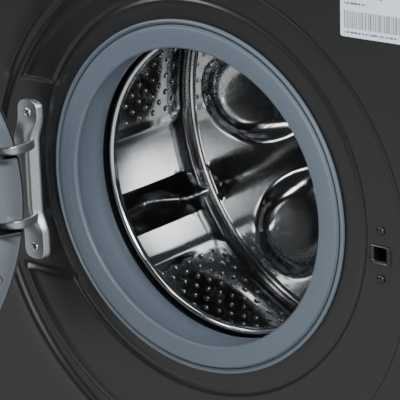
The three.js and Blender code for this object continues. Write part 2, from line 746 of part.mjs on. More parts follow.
function topWeight() {
  const low = TUB_OUTER + TUB_FLANGE + 2;
  const outline = roundedRect(DRAWER_LEFT + DRAWER_WIDTH + 20, 190, 120, 320, 12);
  return slab(outline, low, low + 60);
}

// ---- Drum ---------------------------------------------------------------------------------

function drumShell() {
  const outer = DRUM_RADIUS + DRUM_SHEET;
  const front = DRUM_FRONT;
  return turned([
    [DRUM_LIP, front], [DRUM_LIP + 1.3, front - 2.2], [DRUM_LIP + 4.7, front - 2.8], [DRUM_LIP + 8.7, front],
    [outer - 8, front + 8], [outer, front + 16], [outer, DRUM_BACK + 5], [DRUM_RADIUS, DRUM_BACK + 5],
    [DRUM_RADIUS, front + 16.6], [DRUM_RADIUS - 7.4, front + 9.4], [DRUM_LIP + 8.3, front + 1.6],
    [DRUM_LIP + 4.7, front + 0.6], [DRUM_LIP + 2.3, front + 3],
  ]);
}

// Raised petals pressed into a disc of one thickness.
function drumBack() {
  const rings = [0, 0.22, 0.42, 0.6, 0.78, 0.9, 1];
  const radius = DRUM_RADIUS - GAP;
  const geometry = new THREE.RingGeometry(0, radius, ROUND, rings.length - 1).rotateX(-Math.PI / 2);
  const front = cleaned(geometry);
  const count = front.attributes.position.count;
  const place = front.attributes.position;
  const layers = [[], []];
  const middle = THREE.MathUtils.degToRad(DRUM_ANGLE) - Math.PI / PETAL_COUNT;
  for (let i = 0; i < count; i += 1) {
    const [x, z] = [place.getX(i), place.getZ(i)];
    const share = Math.hypot(x, z) / radius;
    const ring = rings[Math.round(share * (rings.length - 1))];
    const scale = share > 0 ? ring / share : 0;
    const petals = 0.5 + 0.5 * Math.cos(PETAL_COUNT * (Math.atan2(z, x) - middle));
    const y = DRUM_BACK - PETAL_HEIGHT * Math.sin(Math.PI * ring) ** 2 * petals;
    layers[0].push(x * scale, y, z * scale);
    layers[1].push(x * scale, y + DRUM_SHEET, z * scale);
  }
  return walled(layers, front.index.array, count);
}

// Closes a front layer and a back layer of the same triangles into one sheet.
function walled(layers, index, count) {
  const faces = [];
  const edges = new Map();
  for (let i = 0; i < index.length; i += 3) {
    const corner = [index[i], index[i + 1], index[i + 2]];
    faces.push(corner[0] + count, corner[1] + count, corner[2] + count, corner[2], corner[1], corner[0]);
    corner.forEach((a, k) => edges.set(`${a},${corner[(k + 1) % 3]}`, [a, corner[(k + 1) % 3]]));
  }
  for (const [a, b] of edges.values()) {
    if (!edges.has(`${b},${a}`)) faces.push(a, b, b + count, a, b + count, a + count);
  }
  const geometry = new THREE.BufferGeometry();
  geometry.setAttribute("position", new THREE.Float32BufferAttribute([...layers[0], ...layers[1]], 3));
  geometry.setIndex(faces);
  return geometry;
}

// A hollow-looking wedge that stands on the drum's wall and slopes down at both ends.
function lifter() {
  const half = LIFTER_WIDTH / 2;
  const facet = DRUM_RADIUS * Math.cos(Math.PI / ROUND);
  const seat = DRUM_RADIUS - Math.sqrt(facet ** 2 - half ** 2) + GAP;
  const low = DRUM_FRONT + 26;
  const length = DRUM_DEPTH - 42;
  const section = polygon([
    [-half, seat], [half, seat], [half * 0.6, LIFTER_HEIGHT * 0.4], [half * 0.3, LIFTER_HEIGHT * 0.86],
    [half * 0.1, LIFTER_HEIGHT], [-half * 0.1, LIFTER_HEIGHT], [-half * 0.3, LIFTER_HEIGHT * 0.86],
    [-half * 0.6, LIFTER_HEIGHT * 0.4],
  ]);
  const geometry = new THREE.ExtrudeGeometry(section, { depth: length, steps: 4, bevelEnabled: false });
  const place = geometry.attributes.position;
  for (let i = 0; i < place.count; i += 1) {
    const along = place.getZ(i) / length;
    const nearEnd = along < 0.1 || along > 0.9;
    const height = place.getY(i);
    const drop = nearEnd ? seat + (height - seat) * 0.35 : height;
    const spread = along > 0.1 && along < 0.4 ? 0.08 : along > 0.6 && along < 0.9 ? 0.92 : along;
    place.setXYZ(i, place.getX(i), low + spread * length, -DRUM_RADIUS + drop);
  }
  return flippedIfInside(geometry);
}

function flippedIfInside(geometry) {
  const mesh = cleaned(geometry);
  const index = mesh.index.array;
  const p = mesh.attributes.position;
  let volume = 0;
  const [a, b, c] = [new THREE.Vector3(), new THREE.Vector3(), new THREE.Vector3()];
  for (let i = 0; i < index.length; i += 3) {
    a.fromBufferAttribute(p, index[i]);
    b.fromBufferAttribute(p, index[i + 1]);
    c.fromBufferAttribute(p, index[i + 2]);
    volume += a.dot(b.cross(c));
  }
  if (volume < 0) {
    for (let i = 0; i < index.length; i += 3) [index[i], index[i + 1]] = [index[i + 1], index[i]];
  }
  return mesh;
}

function drumSpider() {
  const front = DRUM_BACK + 7;
  const bore = SHAFT_RADIUS + GAP;
  const hub = turned([[bore, front], [46, front], [40, front + 30], [bore, front + 30]], 32);
  const arms = [0, 1, 2].map((i) => {
    const angle = (i * 2 * Math.PI) / 3;
    const bar = cut(block(-16, 16, front, front + 16, 0, DRUM_RADIUS - 6), rod(bore + 4, front - 1, front + 40, 0, 0, 32));
    return bar.rotateY(angle);
  });
  return join(hub, ...arms);
}

function drumShaft() {
  const start = DRUM_BACK + 9;
  const shoulder = BEARING_BACK + 5;
  const end = PULLEY_FRONT + PULLEY_WIDTH + 8;
  return turned([
    [0, start], [SHAFT_RADIUS, start], [SHAFT_RADIUS, shoulder], [PULLEY_SHAFT, shoulder], [PULLEY_SHAFT, end], [0, end],
  ], 32);
}

function drumBearing() {
  return turned([
    [SHAFT_RADIUS + GAP, BEARING_FRONT], [BEARING_RADIUS, BEARING_FRONT],
    [BEARING_RADIUS, BEARING_BACK], [SHAFT_RADIUS + GAP, BEARING_BACK],
  ], 32);
}

function drumPulley() {
  const front = PULLEY_FRONT;
  const back = PULLEY_FRONT + PULLEY_WIDTH;
  const rim = PULLEY_RADIUS - 8;
  const bore = PULLEY_SHAFT + GAP;
  const wheel = turned([
    [bore, front - 1], [25, front - 1], [25, front + 6], [rim, front + 6], [rim, front], [PULLEY_RADIUS, front],
    [PULLEY_RADIUS, back], [rim, back], [rim, front + 10], [25, front + 10], [25, back + 3], [bore, back + 3],
  ]);
  const holes = [0, 1, 2, 3].map((i) => {
    const angle = (i * Math.PI) / 2;
    return rod(26, front, back, 80 * Math.cos(angle), 80 * Math.sin(angle), 10);
  });
  return cut(wheel, ...holes);
}

// ---- Motor and belt -----------------------------------------------------------------------

function motorHousing() {
  const back = PULLEY_FRONT - 28;
  const front = back - MOTOR_LENGTH;
  return turned([
    [0, front], [MOTOR_RADIUS - 8, front], [MOTOR_RADIUS, front + 10], [MOTOR_RADIUS, back - 10],
    [MOTOR_RADIUS - 8, back], [0, back],
  ], 28).translate(MOTOR_X, 0, MOTOR_Z);
}

function motorPulley() {
  const start = PULLEY_FRONT - 28 + GAP;
  const end = PULLEY_FRONT + PULLEY_WIDTH;
  return turned([
    [0, start], [5, start], [5, PULLEY_FRONT], [MOTOR_PULLEY, PULLEY_FRONT], [MOTOR_PULLEY, end], [0, end],
  ], 24).translate(MOTOR_X, 0, MOTOR_Z);
}

// The outline of a belt around both pulleys, as a list of points.
function beltLoop(offset) {
  const direction = Math.atan2(MOTOR_Z, MOTOR_X);
  const distance = Math.hypot(MOTOR_X, MOTOR_Z);
  const spread = Math.acos((PULLEY_RADIUS - MOTOR_PULLEY) / distance);
  const arc = (x, z, radius, from, to, steps) => Array.from({ length: steps + 1 }, (_, i) => {
    const angle = from + ((to - from) * i) / steps;
    return new THREE.Vector2(x + radius * Math.cos(angle), z + radius * Math.sin(angle));
  });
  const big = arc(0, 0, PULLEY_RADIUS + offset, direction + spread, direction - spread + 2 * Math.PI, 28);
  const small = arc(MOTOR_X, MOTOR_Z, MOTOR_PULLEY + offset, direction - spread, direction + spread, 8);
  return [...big, ...small];
}

function driveBelt() {
  const clear = 0.8;
  const shape = new THREE.Shape(beltLoop(clear + BELT_THICKNESS));
  shape.holes.push(new THREE.Path(beltLoop(clear)));
  const front = PULLEY_FRONT + (PULLEY_WIDTH - BELT_WIDTH) / 2;
  return flat(shape, front, front + BELT_WIDTH);
}

// ---- Pump ---------------------------------------------------------------------------------

function drainPump() {
  const front = PANEL + 13;
  const back = front + PUMP_LENGTH;
  const chamber = PUMP_RADIUS - 5;
  const body = turned([
    [chamber, front], [PUMP_RADIUS, front], [PUMP_RADIUS, back], [0, back], [0, back - 30], [chamber, back - 30],
  ], 28);
  const stub = rod(HOSE_RADIUS, 0, 16).rotateZ(Math.PI / 2).translate(-PUMP_RADIUS + 3, SUMP_Y - 20, 0);
  const bore = rod(HOSE_BORE, -14, 40).rotateZ(Math.PI / 2).translate(-PUMP_RADIUS + 3, SUMP_Y - 20, 0);
  return cut(join(body, stub), bore).translate(PUMP_X, 0, PUMP_HEIGHT - PORT_HEIGHT);
}

function pumpFilterCap() {
  const face = PANEL + 4;
  const thread = PUMP_RADIUS - 8;
  const cap = turned([
    [0, face], [CAP_RADIUS + 4, face], [CAP_RADIUS + 4, face + 8], [thread, face + 8], [thread, face + 36], [0, face + 36],
  ], 28);
  const grip = block(-4, 4, face - 2.5, face + 1, -CAP_RADIUS + 6, CAP_RADIUS - 6);
  return join(cap, grip).translate(PUMP_X, 0, PUMP_HEIGHT - PORT_HEIGHT);
}

function sumpHose() {
  const level = PUMP_HEIGHT - PORT_HEIGHT;
  const end = PUMP_X - PUMP_RADIUS + 3 - 16 - GAP;
  const section = disc(HOSE_RADIUS, HOSE_BORE);
  return swept(section, [
    [SUMP_X, SUMP_Y, SUMP_TOP - GAP], [SUMP_X, SUMP_Y, SUMP_TOP - 16], [SUMP_X + 4, SUMP_Y - 6, SUMP_TOP - 34],
    [SUMP_X + 20, SUMP_Y - 15, level + 4], [end - 16, SUMP_Y - 20, level], [end, SUMP_Y - 20, level],
  ], 12);
}

// ---- Door lock and hinge on the cabinet ---------------------------------------------------

function doorLock() {
  const front = PANEL + GAP;
  const back = front + LOCK_DEPTH;
  const x = LOCK_WIDTH / 2;
  const z = LOCK_HEIGHT / 2;
  const body = block(LATCH_X - x, LATCH_X + x, front, back, LATCH_Z - z, LATCH_Z + z);
  return cut(
    body,
    latchHole(front - 1, back - 8),
    ...latchScrewPlaces().map((place) => rod(SCREW_SHANK + GAP, front - 1, back - 10, LATCH_X, place, 12)),
  );
}

function bracketOutline() {
  const head = 17;
  const top = HINGE_CENTRE + HINGE_SCREWS / 2;
  const low = HINGE_CENTRE - HINGE_SCREWS / 2;
  const x = HINGE_SCREW_X;
  const shape = new THREE.Shape();
  shape.moveTo(x - head, low);
  shape.absarc(x, low, head - 4, Math.PI, 2 * Math.PI);
  shape.quadraticCurveTo(x - 2, HINGE_CENTRE - 35, x - 3, HINGE_CENTRE);
  shape.quadraticCurveTo(x - 2, HINGE_CENTRE + 35, x + head - 4, top);
  shape.absarc(x, top, head - 4, 0, Math.PI);
  shape.lineTo(x - head, top - 14);
  shape.lineTo(x - head - 2, HINGE_CENTRE);
  return shape;
}

// A curved arm from the bracket's plate to the eye around the hinge pin.
function hingeArm(z) {
  const curve = new THREE.QuadraticBezierCurve(
    new THREE.Vector2(PIVOT_X, PIVOT_Y), new THREE.Vector2(PIVOT_X + 24, PIVOT_Y + 4),
    new THREE.Vector2(PIVOT_X + 9, 0),
  );
  const half = ARM_WIDTH / 2;
  const sides = [1, -1].map((side) => {
    const edge = [];
    for (let i = 0; i <= 6; i += 1) {
      const point = curve.getPoint(i / 6);
      const along = curve.getTangent(i / 6);
      edge.push([point.x - side * half * along.y, point.y + side * half * along.x]);
    }
    return edge;
  });
  const bar = slab(polygon([...sides[0], ...sides[1].reverse()]), z - ARM_HEIGHT / 2, z + ARM_HEIGHT / 2);
  const eye = upright(rod(EYE_RADIUS, z - ARM_HEIGHT / 2, z + ARM_HEIGHT / 2, 0, 0, 20)).translate(PIVOT_X, PIVOT_Y, 0);
  return join(bar, eye);
}

function armPlaces() {
  return [HINGE_CENTRE + HINGE_ARMS / 2, HINGE_CENTRE - HINGE_ARMS / 2];
}

function hingeBracket() {
  const back = POCKET_DEPTH - GAP;
  const plate = flat(bracketOutline(), back - BRACKET_THICKNESS, back, 8);
  const bore = upright(rod(PIN_RADIUS + GAP, -200, 200, 0, 0, COARSE)).translate(PIVOT_X, PIVOT_Y, 0);
  const holes = hingeScrewPlaces().map((z) => rod(SCREW_SHANK + GAP, -10, 20, HINGE_SCREW_X, z, 12));
  return cut(join(plate, ...armPlaces().map(hingeArm)), bore, ...holes);
}

function hingePin() {
  const [high, low] = armPlaces();
  const end = ARM_HEIGHT / 2 + PIN_END;
  return upright(turned([
    [0, low - end], [PIN_RADIUS, low - end], [PIN_RADIUS, high + end - PIN_END + GAP],
    [PIN_RADIUS + 3, high + end - PIN_END + GAP],
    [PIN_RADIUS + 3, high + end], [0, high + end],
  ], COARSE)).translate(PIVOT_X, PIVOT_Y, 0);
}

// ---- Door, drawn closed -------------------------------------------------------------------

// A slot for each of the bracket's arms, which the door turns around.
function hingeSlots(inner, depth) {
  const half = ARM_HEIGHT / 2 + PIN_END + ARM_SLACK;
  return armPlaces().map((z) => block(-DOOR_RADIUS - 40, inner, depth, 5, z - half, z + half));
}

function doorRing() {
  const front = DOOR_FRONT;
  const back = DOOR_BACK - 2;
  const rim = DOOR_RADIUS;
  const wall = DOOR_WALL;
  const shell = turned([
    [0, front], [rim - 16, front], [rim - 6, front + 3], [rim - 1, front + 9], [rim, front + 16], [rim, back],
    [rim - wall, back], [rim - wall, front + 17], [rim - wall - 1, front + 11], [rim - wall - 5, front + 6],
    [rim - 17, front + wall], [0, front + wall],
  ], FINE).translate(DISH_X, 0, DISH_Z);
  const collar = turned([
    [COLLAR_RADIUS, front], [COLLAR_RADIUS + wall, front], [COLLAR_RADIUS + wall, DOOR_BACK - 12],
    [COLLAR_RADIUS, DOOR_BACK - 12],
  ], FINE);
  return cut(
    join(shell, collar),
    rod(COLLAR_RADIUS, front - 5, 5, 0, 0, FINE),
    ...hingeSlots(PIVOT_X + 2, PIVOT_Y - EYE_RADIUS - 1),
  );
}

function doorPlate() {
  const front = DOOR_BACK - PLATE_THICKNESS;
  const radius = DOOR_RADIUS - DOOR_WALL - 0.5;
  const plate = rod(radius, front, DOOR_BACK, DISH_X, DISH_Z, FINE);
  return cut(
    plate,
    rod(GLASS_RADIUS + 0.7, front - 1, 5, 0, 0, FINE),
    ...hingeSlots(PIVOT_X + 32, front - 5),
    block(LATCH_X - 12, LATCH_X + 10, front - 1, 5, LATCH_Z - 8, LATCH_Z + 8),
  );
}

function doorGlass() {
  const lip = DOOR_BACK - PLATE_THICKNESS - GAP - 1;
  const rim = GLASS_RADIUS;
  const bottom = DOOR_BACK + GLASS_DEPTH;
  const wall = GLASS_WALL;
  return turned([
    [0, bottom], [rim - 34, bottom], [rim - 23, bottom - 4], [rim - 15, bottom - 14], [rim - 6, DOOR_BACK + 46],
    [rim - 1, DOOR_BACK + 6], [rim, lip], [COLLAR_RADIUS - 1, lip], [COLLAR_RADIUS - 1, lip - wall],
    [rim - wall, lip - wall], [rim - wall - 1, DOOR_BACK + 5], [rim - wall - 6, DOOR_BACK + 44],
    [rim - wall - 15, bottom - 17], [rim - wall - 22, bottom - wall - 3], [rim - wall - 32, bottom - wall],
    [0, bottom - wall],
  ], ROUND);
}

function doorHook() {
  const z0 = LATCH_Z - HOOK_HEIGHT / 2;
  const x = LATCH_X - 4;
  return slab(polygon([
    [x - 3, HOOK_PIVOT - 5], [x + 3, HOOK_PIVOT - 5], [x + 3, HOOK_REACH - 8], [x + 8, HOOK_REACH - 8],
    [x + 4, HOOK_REACH], [x - 3, HOOK_REACH],
  ]), z0, z0 + HOOK_HEIGHT);
}

// The moving half of the hinge: an eye on the pin and a plate inside the door's rim.
function doorHingeArm() {
  const half = HINGE_ARMS / 2 - ARM_HEIGHT / 2 - GAP;
  const [low, high] = [HINGE_CENTRE - half, HINGE_CENTRE + half];
  const eye = upright(rod(6.5, low, high, 0, 0, 20)).translate(PIVOT_X, PIVOT_Y, 0);
  const plate = block(PIVOT_X, PIVOT_X + 44, PIVOT_Y - 3, PIVOT_Y + 3, low, high);
  const bore = upright(rod(PIN_RADIUS + GAP, low - 5, high + 5, 0, 0, COARSE)).translate(PIVOT_X, PIVOT_Y, 0);
  return cut(join(eye, plate), bore);
}

// ---- Assembly -----------------------------------------------------------------------------

add(machine, "side_panel_right", "graphite", sidePanel());
add(machine, "side_panel_left", "graphite", flippedIfInside(sidePanel().scale(-1, 1, 1)));
add(machine, "rear_panel", "steel", rearPanel());
add(machine, "top_lid", "graphite", topLid());
add(machine, "base_pan", "steel", basePan());
footPlaces().forEach(([x, y], i) => add(machine, `foot_${i + 1}`, "blackRubber", foot()).position.set(x, y, 0));
add(port, "front_panel", "graphite", frontPanel());
add(machine, "filter_flap", "graphite", filterFlap());
add(port, "rating_label", "white", ratingLabel());

add(machine, "control_fascia", "graphite", controlFascia());
add(machine, "display_lens", "darkPlastic", displayLens());
add(machine, "programme_knob", "steel", programmeKnob());
add(machine, "power_button", "steel", powerButton());
add(machine, "dispenser_box", "tubPlastic", dispenserBox());
add(machine, "detergent_drawer", "greyPlastic", detergentDrawer());
add(machine, "drawer_front", "graphite", drawerFront());
add(machine, "inlet_valve", "white", inletValve());
add(machine, "drain_outlet", "darkPlastic", drainOutlet());
add(machine, "power_inlet", "darkPlastic", powerInlet());

add(port, "door_gasket", "rubber", doorGasket());
add(port, "gasket_clamp_ring", "blackSteel", gasketClampRing());
add(port, "tub_front", "tubPlastic", tubFront());
add(port, "tub_rear", "tubPlastic", tubRear());
add(port, "counterweight_front", "concrete", frontWeight());
add(port, "counterweight_top", "concrete", topWeight());
add(port, "spring_left", "steel", suspensionSpring(-1));
add(port, "spring_right", "steel", suspensionSpring(1));
add(port, "damper_left", "darkPlastic", damper(-1));
add(port, "damper_right", "darkPlastic", damper(1));
add(port, "heater", "steel", heater());
add(port, "drain_pump", "darkPlastic", drainPump());
add(port, "pump_filter_cap", "greyPlastic", pumpFilterCap());
add(port, "sump_hose", "blackRubber", sumpHose());

add(drum, "drum_shell", "stainless", drumShell());
add(drum, "drum_back", "stainless", drumBack());
for (let i = 0; i < LIFTER_COUNT; i += 1) {
  const angle = THREE.MathUtils.degToRad(DRUM_ANGLE + 90 + (i * 360) / LIFTER_COUNT);
  add(drum, `lifter_${i + 1}`, "stainless", lifter()).rotation.y = -angle;
}
add(drum, "drum_spider", "castZinc", drumSpider());
add(drum, "drum_shaft", "steel", drumShaft());
add(drum, "drum_pulley", "castZinc", drumPulley());
add(port, "drum_bearing", "steel", drumBearing());
add(port, "motor_housing", "blackSteel", motorHousing());
add(port, "motor_pulley", "steel", motorPulley());
add(port, "drive_belt", "blackRubber", driveBelt());

add(port, "door_lock", "darkPlastic", doorLock());
["upper", "lower"].forEach((word, i) => {
  const latchScrew = add(port, `latch_screw_${word}`, "blackSteel", domeScrew(-GAP, 22));
  latchScrew.position.set(LATCH_X, 0, latchScrewPlaces()[i]);
  const seat = POCKET_DEPTH - GAP - BRACKET_THICKNESS - GAP;
  const hingeScrew = add(port, `hinge_screw_${word}`, "steel", domeScrew(seat, 14));
  hingeScrew.position.set(HINGE_SCREW_X, 0, hingeScrewPlaces()[i]);
});
add(port, "hinge_bracket", "castZinc", hingeBracket());
add(port, "hinge_pin", "steel", hingePin());

function hung(geometry) {
  return geometry.translate(-PIVOT_X, -PIVOT_Y, 0);
}

add(door, "door_ring", "graphite", hung(doorRing()));
add(door, "door_plate", "greyPlastic", hung(doorPlate()));
add(door, "door_glass", "glass", hung(doorGlass()));
add(door, "door_hook", "castZinc", hung(doorHook()));
add(door, "door_hinge_arm", "castZinc", hung(doorHingeArm()));

machine.updateMatrixWorld(true);
const extent = new THREE.Box3().setFromObject(machine, true);
const middle = extent.getCenter(new THREE.Vector3());
machine.position.set(-middle.x, -middle.y, -extent.min.z);

export default machine;
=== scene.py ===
import json
import math

import bpy
import numpy as np
from mathutils import Matrix, Vector


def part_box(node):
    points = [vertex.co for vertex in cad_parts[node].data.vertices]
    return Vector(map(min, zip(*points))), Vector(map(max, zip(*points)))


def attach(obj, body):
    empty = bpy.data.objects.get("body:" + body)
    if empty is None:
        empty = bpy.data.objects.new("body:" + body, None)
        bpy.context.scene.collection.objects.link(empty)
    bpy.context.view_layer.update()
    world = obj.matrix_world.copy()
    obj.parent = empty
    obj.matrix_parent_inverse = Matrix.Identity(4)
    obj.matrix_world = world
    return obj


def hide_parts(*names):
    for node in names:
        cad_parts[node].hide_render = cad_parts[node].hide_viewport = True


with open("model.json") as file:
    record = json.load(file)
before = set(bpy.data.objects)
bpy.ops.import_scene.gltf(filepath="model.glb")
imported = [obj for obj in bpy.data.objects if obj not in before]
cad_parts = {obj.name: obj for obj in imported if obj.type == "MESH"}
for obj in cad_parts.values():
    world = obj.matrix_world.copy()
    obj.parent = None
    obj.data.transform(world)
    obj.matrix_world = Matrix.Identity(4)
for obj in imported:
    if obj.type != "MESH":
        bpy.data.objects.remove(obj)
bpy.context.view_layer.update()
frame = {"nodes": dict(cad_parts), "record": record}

# ---- Camera -------------------------------------------------------------------------------
# A long lens looks down into the porthole from the right. Everything on the front is measured
# in millimetres from the porthole's centre: x to the right, y into the machine, z up.
low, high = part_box("door_gasket")
port = Vector(((low.x + high.x) / 2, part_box("front_panel")[0].y, (low.z + high.z) / 2))

azimuth, elevation, roll = math.radians(38.98), math.radians(18.12), -0.0302
away = Vector((math.sin(azimuth) * math.cos(elevation), -math.cos(azimuth) * math.cos(elevation),
               math.sin(elevation)))
level = Vector((math.cos(azimuth), math.sin(azimuth), 0))
rise = away.cross(level)
across = math.cos(roll) * level + math.sin(roll) * rise
upward = math.cos(roll) * rise - math.sin(roll) * level
stand = Matrix((across, upward, away)).transposed().to_4x4()
stand.translation = port + Vector((0.00692, 0, 0)) + 2.0787 * away
camera_data = bpy.data.cameras.new("camera")
camera_data.lens = 192.4
camera = bpy.data.objects.new("camera", camera_data)
camera.matrix_world = stand
bpy.context.scene.collection.objects.link(camera)
bpy.context.scene.camera = camera

# ---- Room ---------------------------------------------------------------------------------
# A dim grey studio. A tall soft panel stands in front of the porthole and lights the drum
# through its mouth, and a large one hangs above on the left for the ridges of the panel.
world = bpy.data.worlds.new("studio")
world.use_nodes = True
world.node_tree.nodes["Background"].inputs["Color"].default_value = (0.80, 0.86, 0.94, 1)
world.node_tree.nodes["Background"].inputs["Strength"].default_value = 0.06
bpy.context.scene.world = world


def softbox(name, place, target, width, height, radiance, tilt=0.0):
    """A flat lamp at one point that faces another, both in millimetres from the porthole's centre."""
    where, aim = Vector(place) / 1000, Vector(target) / 1000
    data = bpy.data.lights.new(name, "AREA")
    data.shape = "RECTANGLE"
    data.size, data.size_y = width, height
    data.energy = radiance * math.pi * width * height
    lamp = bpy.data.objects.new(name, data)
    lamp.location = port + where
    lamp.rotation_mode = "QUATERNION"
    facing = (where - aim).to_track_quat("Z", "Y")
    lamp.rotation_quaternion = facing @ Matrix.Rotation(math.radians(tilt), 3, "Z").to_quaternion()
    lamp.visible_camera = False
    bpy.context.scene.collection.objects.link(lamp)


softbox("porthole_light", (1025, -1035, 455), (1025, 0, 455), 0.32, 1.22, 7.0, 22.5)
softbox("strip_light", (0, -1045, 1080), (0, 0, 1080), 0.12, 0.34, 7.0)
softbox("right_light", (2700, -1500, 1700), (0, 0, 0), 1.6, 1.6, 13.0)
softbox("left_light", (-2300, -1700, 2200), (0, 0, 0), 1.8, 1.4, 9.0)
softbox("top_light", (300, -300, 2800), (0, 250, 0), 2.4, 2.4, 3.0)
softbox("rear_light", (-1500, 2900, 1500), (0, 300, 0), 1.8, 1.8, 5.0)

floor_mesh = bpy.data.meshes.new("floor")
floor_mesh.from_pydata([(-6, -6, 0), (6, -6, 0), (6, 6, 0), (-6, 6, 0)], [], [(0, 1, 2, 3)])
floor = bpy.data.objects.new("floor", floor_mesh)
floor.location.z = -0.0005
bpy.context.scene.collection.objects.link(floor)

# ---- Paint, plastic and metal finishes ----------------------------------------------------
# The front panel is 0.8 mm sheet steel, deep drawn around the porthole and powder coated in
# matt graphite. Its ring grooves and the hinge pocket are pressed, and its edges folded back.


class Wire:
    """An output in a material's node tree: sums on it add Math nodes."""

    def __init__(self, tree, socket=None):
        self.tree, self.socket = tree, socket

    def node(self, kind, settings=(), sockets=(), out=0):
        made = self.tree.nodes.new("ShaderNode" + kind)
        for key, value in dict(settings).items():
            if key == "stops":
                while len(made.color_ramp.elements) < len(value):
                    made.color_ramp.elements.new(1.0)
                for stop, (place, shade) in zip(made.color_ramp.elements, value):
                    stop.position, stop.color = place, (shade, shade, shade, 1)
            else:
                setattr(made, key, value)
        for key, value in dict(sockets).items():
            if isinstance(value, Wire):
                self.tree.links.new(value.socket, made.inputs[key])
            else:
                made.inputs[key].default_value = value
        return Wire(self.tree, made.outputs[out])

    def math(self, operation, *values):
        return self.node("Math", {"operation": operation}, dict(enumerate(values)))

    def __add__(self, other):
        return self.math("ADD", self, other)

    __radd__ = __add__

    def __sub__(self, other):
        return self.math("SUBTRACT", self, other)

    def __rsub__(self, other):
        return self.math("SUBTRACT", other, self)

    def __mul__(self, other):
        return self.math("MULTIPLY", self, other)

    __rmul__ = __mul__

    def __gt__(self, other):
        return self.math("GREATER_THAN", self, other)

    def __lt__(self, other):
        return self.math("LESS_THAN", self, other)


def finish(name, colour, rough, metal=0.0, vary=0.12, patch=6.0, uneven=0.05, grain=900.0, depth=0.00004,
           stretch=(1, 1, 1), coat=0.0, clear=0.0, specular=0.5):
    """A surface whose colour and roughness drift in patches, over a fine moulded or rolled grain."""
    material = bpy.data.materials.new(name)
    material.use_nodes = True
    tree = material.node_tree
    surface = tree.nodes["Principled BSDF"]
    wire = Wire(tree)
    place = wire.node("TexCoord", out=3)
    cloud = wire.node("TexNoise", {}, {"Vector": place, "Scale": patch, "Detail": 4.0})
    scaled = wire.node("VectorMath", {"operation": "MULTIPLY"}, {0: place, 1: stretch})
    fine = wire.node("TexNoise", {}, {"Vector": scaled, "Scale": grain, "Detail": 2.0})
    dark = tuple(c * (1 - vary) for c in colour) + (1,)
    light = tuple(min(1, c * (1 + vary)) for c in colour) + (1,)
    shade = wire.node("Mix", {"data_type": "RGBA"}, {0: cloud, 6: dark, 7: light}, 2)
    sheen = rough + (cloud - 0.5) * (2 * uneven) + (fine - 0.5) * uneven
    bump = wire.node("Bump", {}, {"Height": fine, "Distance": depth, "Strength": 1.0})
    for key, value in {"Base Color": shade, "Roughness": sheen, "Normal": bump}.items():
        tree.links.new(value.socket, surface.inputs[key])
    surface.inputs["Metallic"].default_value = metal
    surface.inputs["Coat Weight"].default_value = coat
    surface.inputs["Specular IOR Level"].default_value = specular
    surface.inputs["Transmission Weight"].default_value = clear
    return material


floor_mesh.materials.append(finish("pale_floor", (0.62, 0.62, 0.61), 0.6, 0, 0.02, 1.5, 0.03, 60.0, 0.0001))
graphite_paint = finish("graphite_paint", (0.014, 0.0142, 0.0148), 0.30, 0.1, 0.05, 3.0, 0.02, 2400.0,
                        0.00002)


def smooth(t):
    t = np.clip(t, 0, 1)
    return t * t * (3 - 2 * t)


def hill(distance, half):
    return smooth(1 - np.abs(distance) / half)


def quads(rows, columns, closed=True, first=0):
    """The faces of a grid of points, row by row, that may close on itself along each row."""
    i, j = np.meshgrid(np.arange(rows - 1), np.arange(columns if closed else columns - 1), indexing="ij")
    a, b = i * columns + j, i * columns + (j + 1) % columns
    return (np.stack([a, b, b + columns, a + columns], -1).reshape(-1, 4) + first).tolist()


def piece(name, points, faces, material, body, nodes=(), sharp=42, slot=None):
    """A smooth shaded mesh from points in millimetres, which rides on a body and stands for CAD nodes."""
    mesh = bpy.data.meshes.new(name)
    mesh.from_pydata((np.asarray(points, float).reshape(-1, 3) / 1000 + np.array(port)).tolist(), [], faces)
    mesh.polygons.foreach_set("use_smooth", [True] * len(mesh.polygons))
    mesh.set_sharp_from_angle(angle=math.radians(sharp))
    mesh.materials.append(material)
    made = bpy.data.objects.new(name, mesh)
    bpy.context.scene.collection.objects.link(made)
    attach(made, body)
    if nodes:
        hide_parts(*nodes)
    return made


def applied(made, kind, **settings):
    """Adds a modifier and keeps its result as the piece's mesh."""
    modifier = made.modifiers.new(kind, kind)
    for key, value in settings.items():
        setattr(modifier, key, value)
    graph = bpy.context.evaluated_depsgraph_get()
    mesh = bpy.data.meshes.new_from_object(made.evaluated_get(graph))
    made.modifiers.clear()
    made.data = mesh
    return made


def pierced(made, *tools):
    """Cuts closed shapes out of a piece."""
    for tool in tools:
        applied(made, "BOOLEAN", operation="DIFFERENCE", object=tool, solver="EXACT")
        bpy.data.objects.remove(tool)
    return made


def rounded_box(x0, x1, y0, y1, z0, z1, r, steps=5):
    """Loops of a bar along y whose section in x and z is a rectangle with round corners."""
    loop = []
    corners = ((x1 - r, z1 - r, 0), (x0 + r, z1 - r, 90), (x0 + r, z0 + r, 180), (x1 - r, z0 + r, 270))
    for cx, cz, start in corners:
        for k in range(steps + 1):
            a = math.radians(start + 90 * k / steps)
            loop.append((cx + r * math.cos(a), cz + r * math.sin(a)))
    return [[(x, y, z) for x, z in loop] for y in (y0, y1)]


def lofted(loops, caps=True):
    """Points and faces of a skin through loops of the same count, with flat ends."""
    count = len(loops[0])
    points = [p for loop in loops for p in loop]
    faces = quads(len(loops), count)
    if caps:
        faces.append(list(range(count)))
        faces.append([(len(loops) - 1) * count + k for k in reversed(range(count))])
    return points, faces


RING_GROOVE = 200.0
CREASE = (249.5, -3.4, -24.6)
EDGE_RING = (263.1, -0.7, -28.1)
POCKET_TOP, POCKET_LOW = 91.0, -115.0
low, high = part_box("front_panel")
panel_box = [(v - port.x) * 1000 for v in (low.x, high.x)] + [(v - port.z) * 1000 for v in (low.z, high.z)]


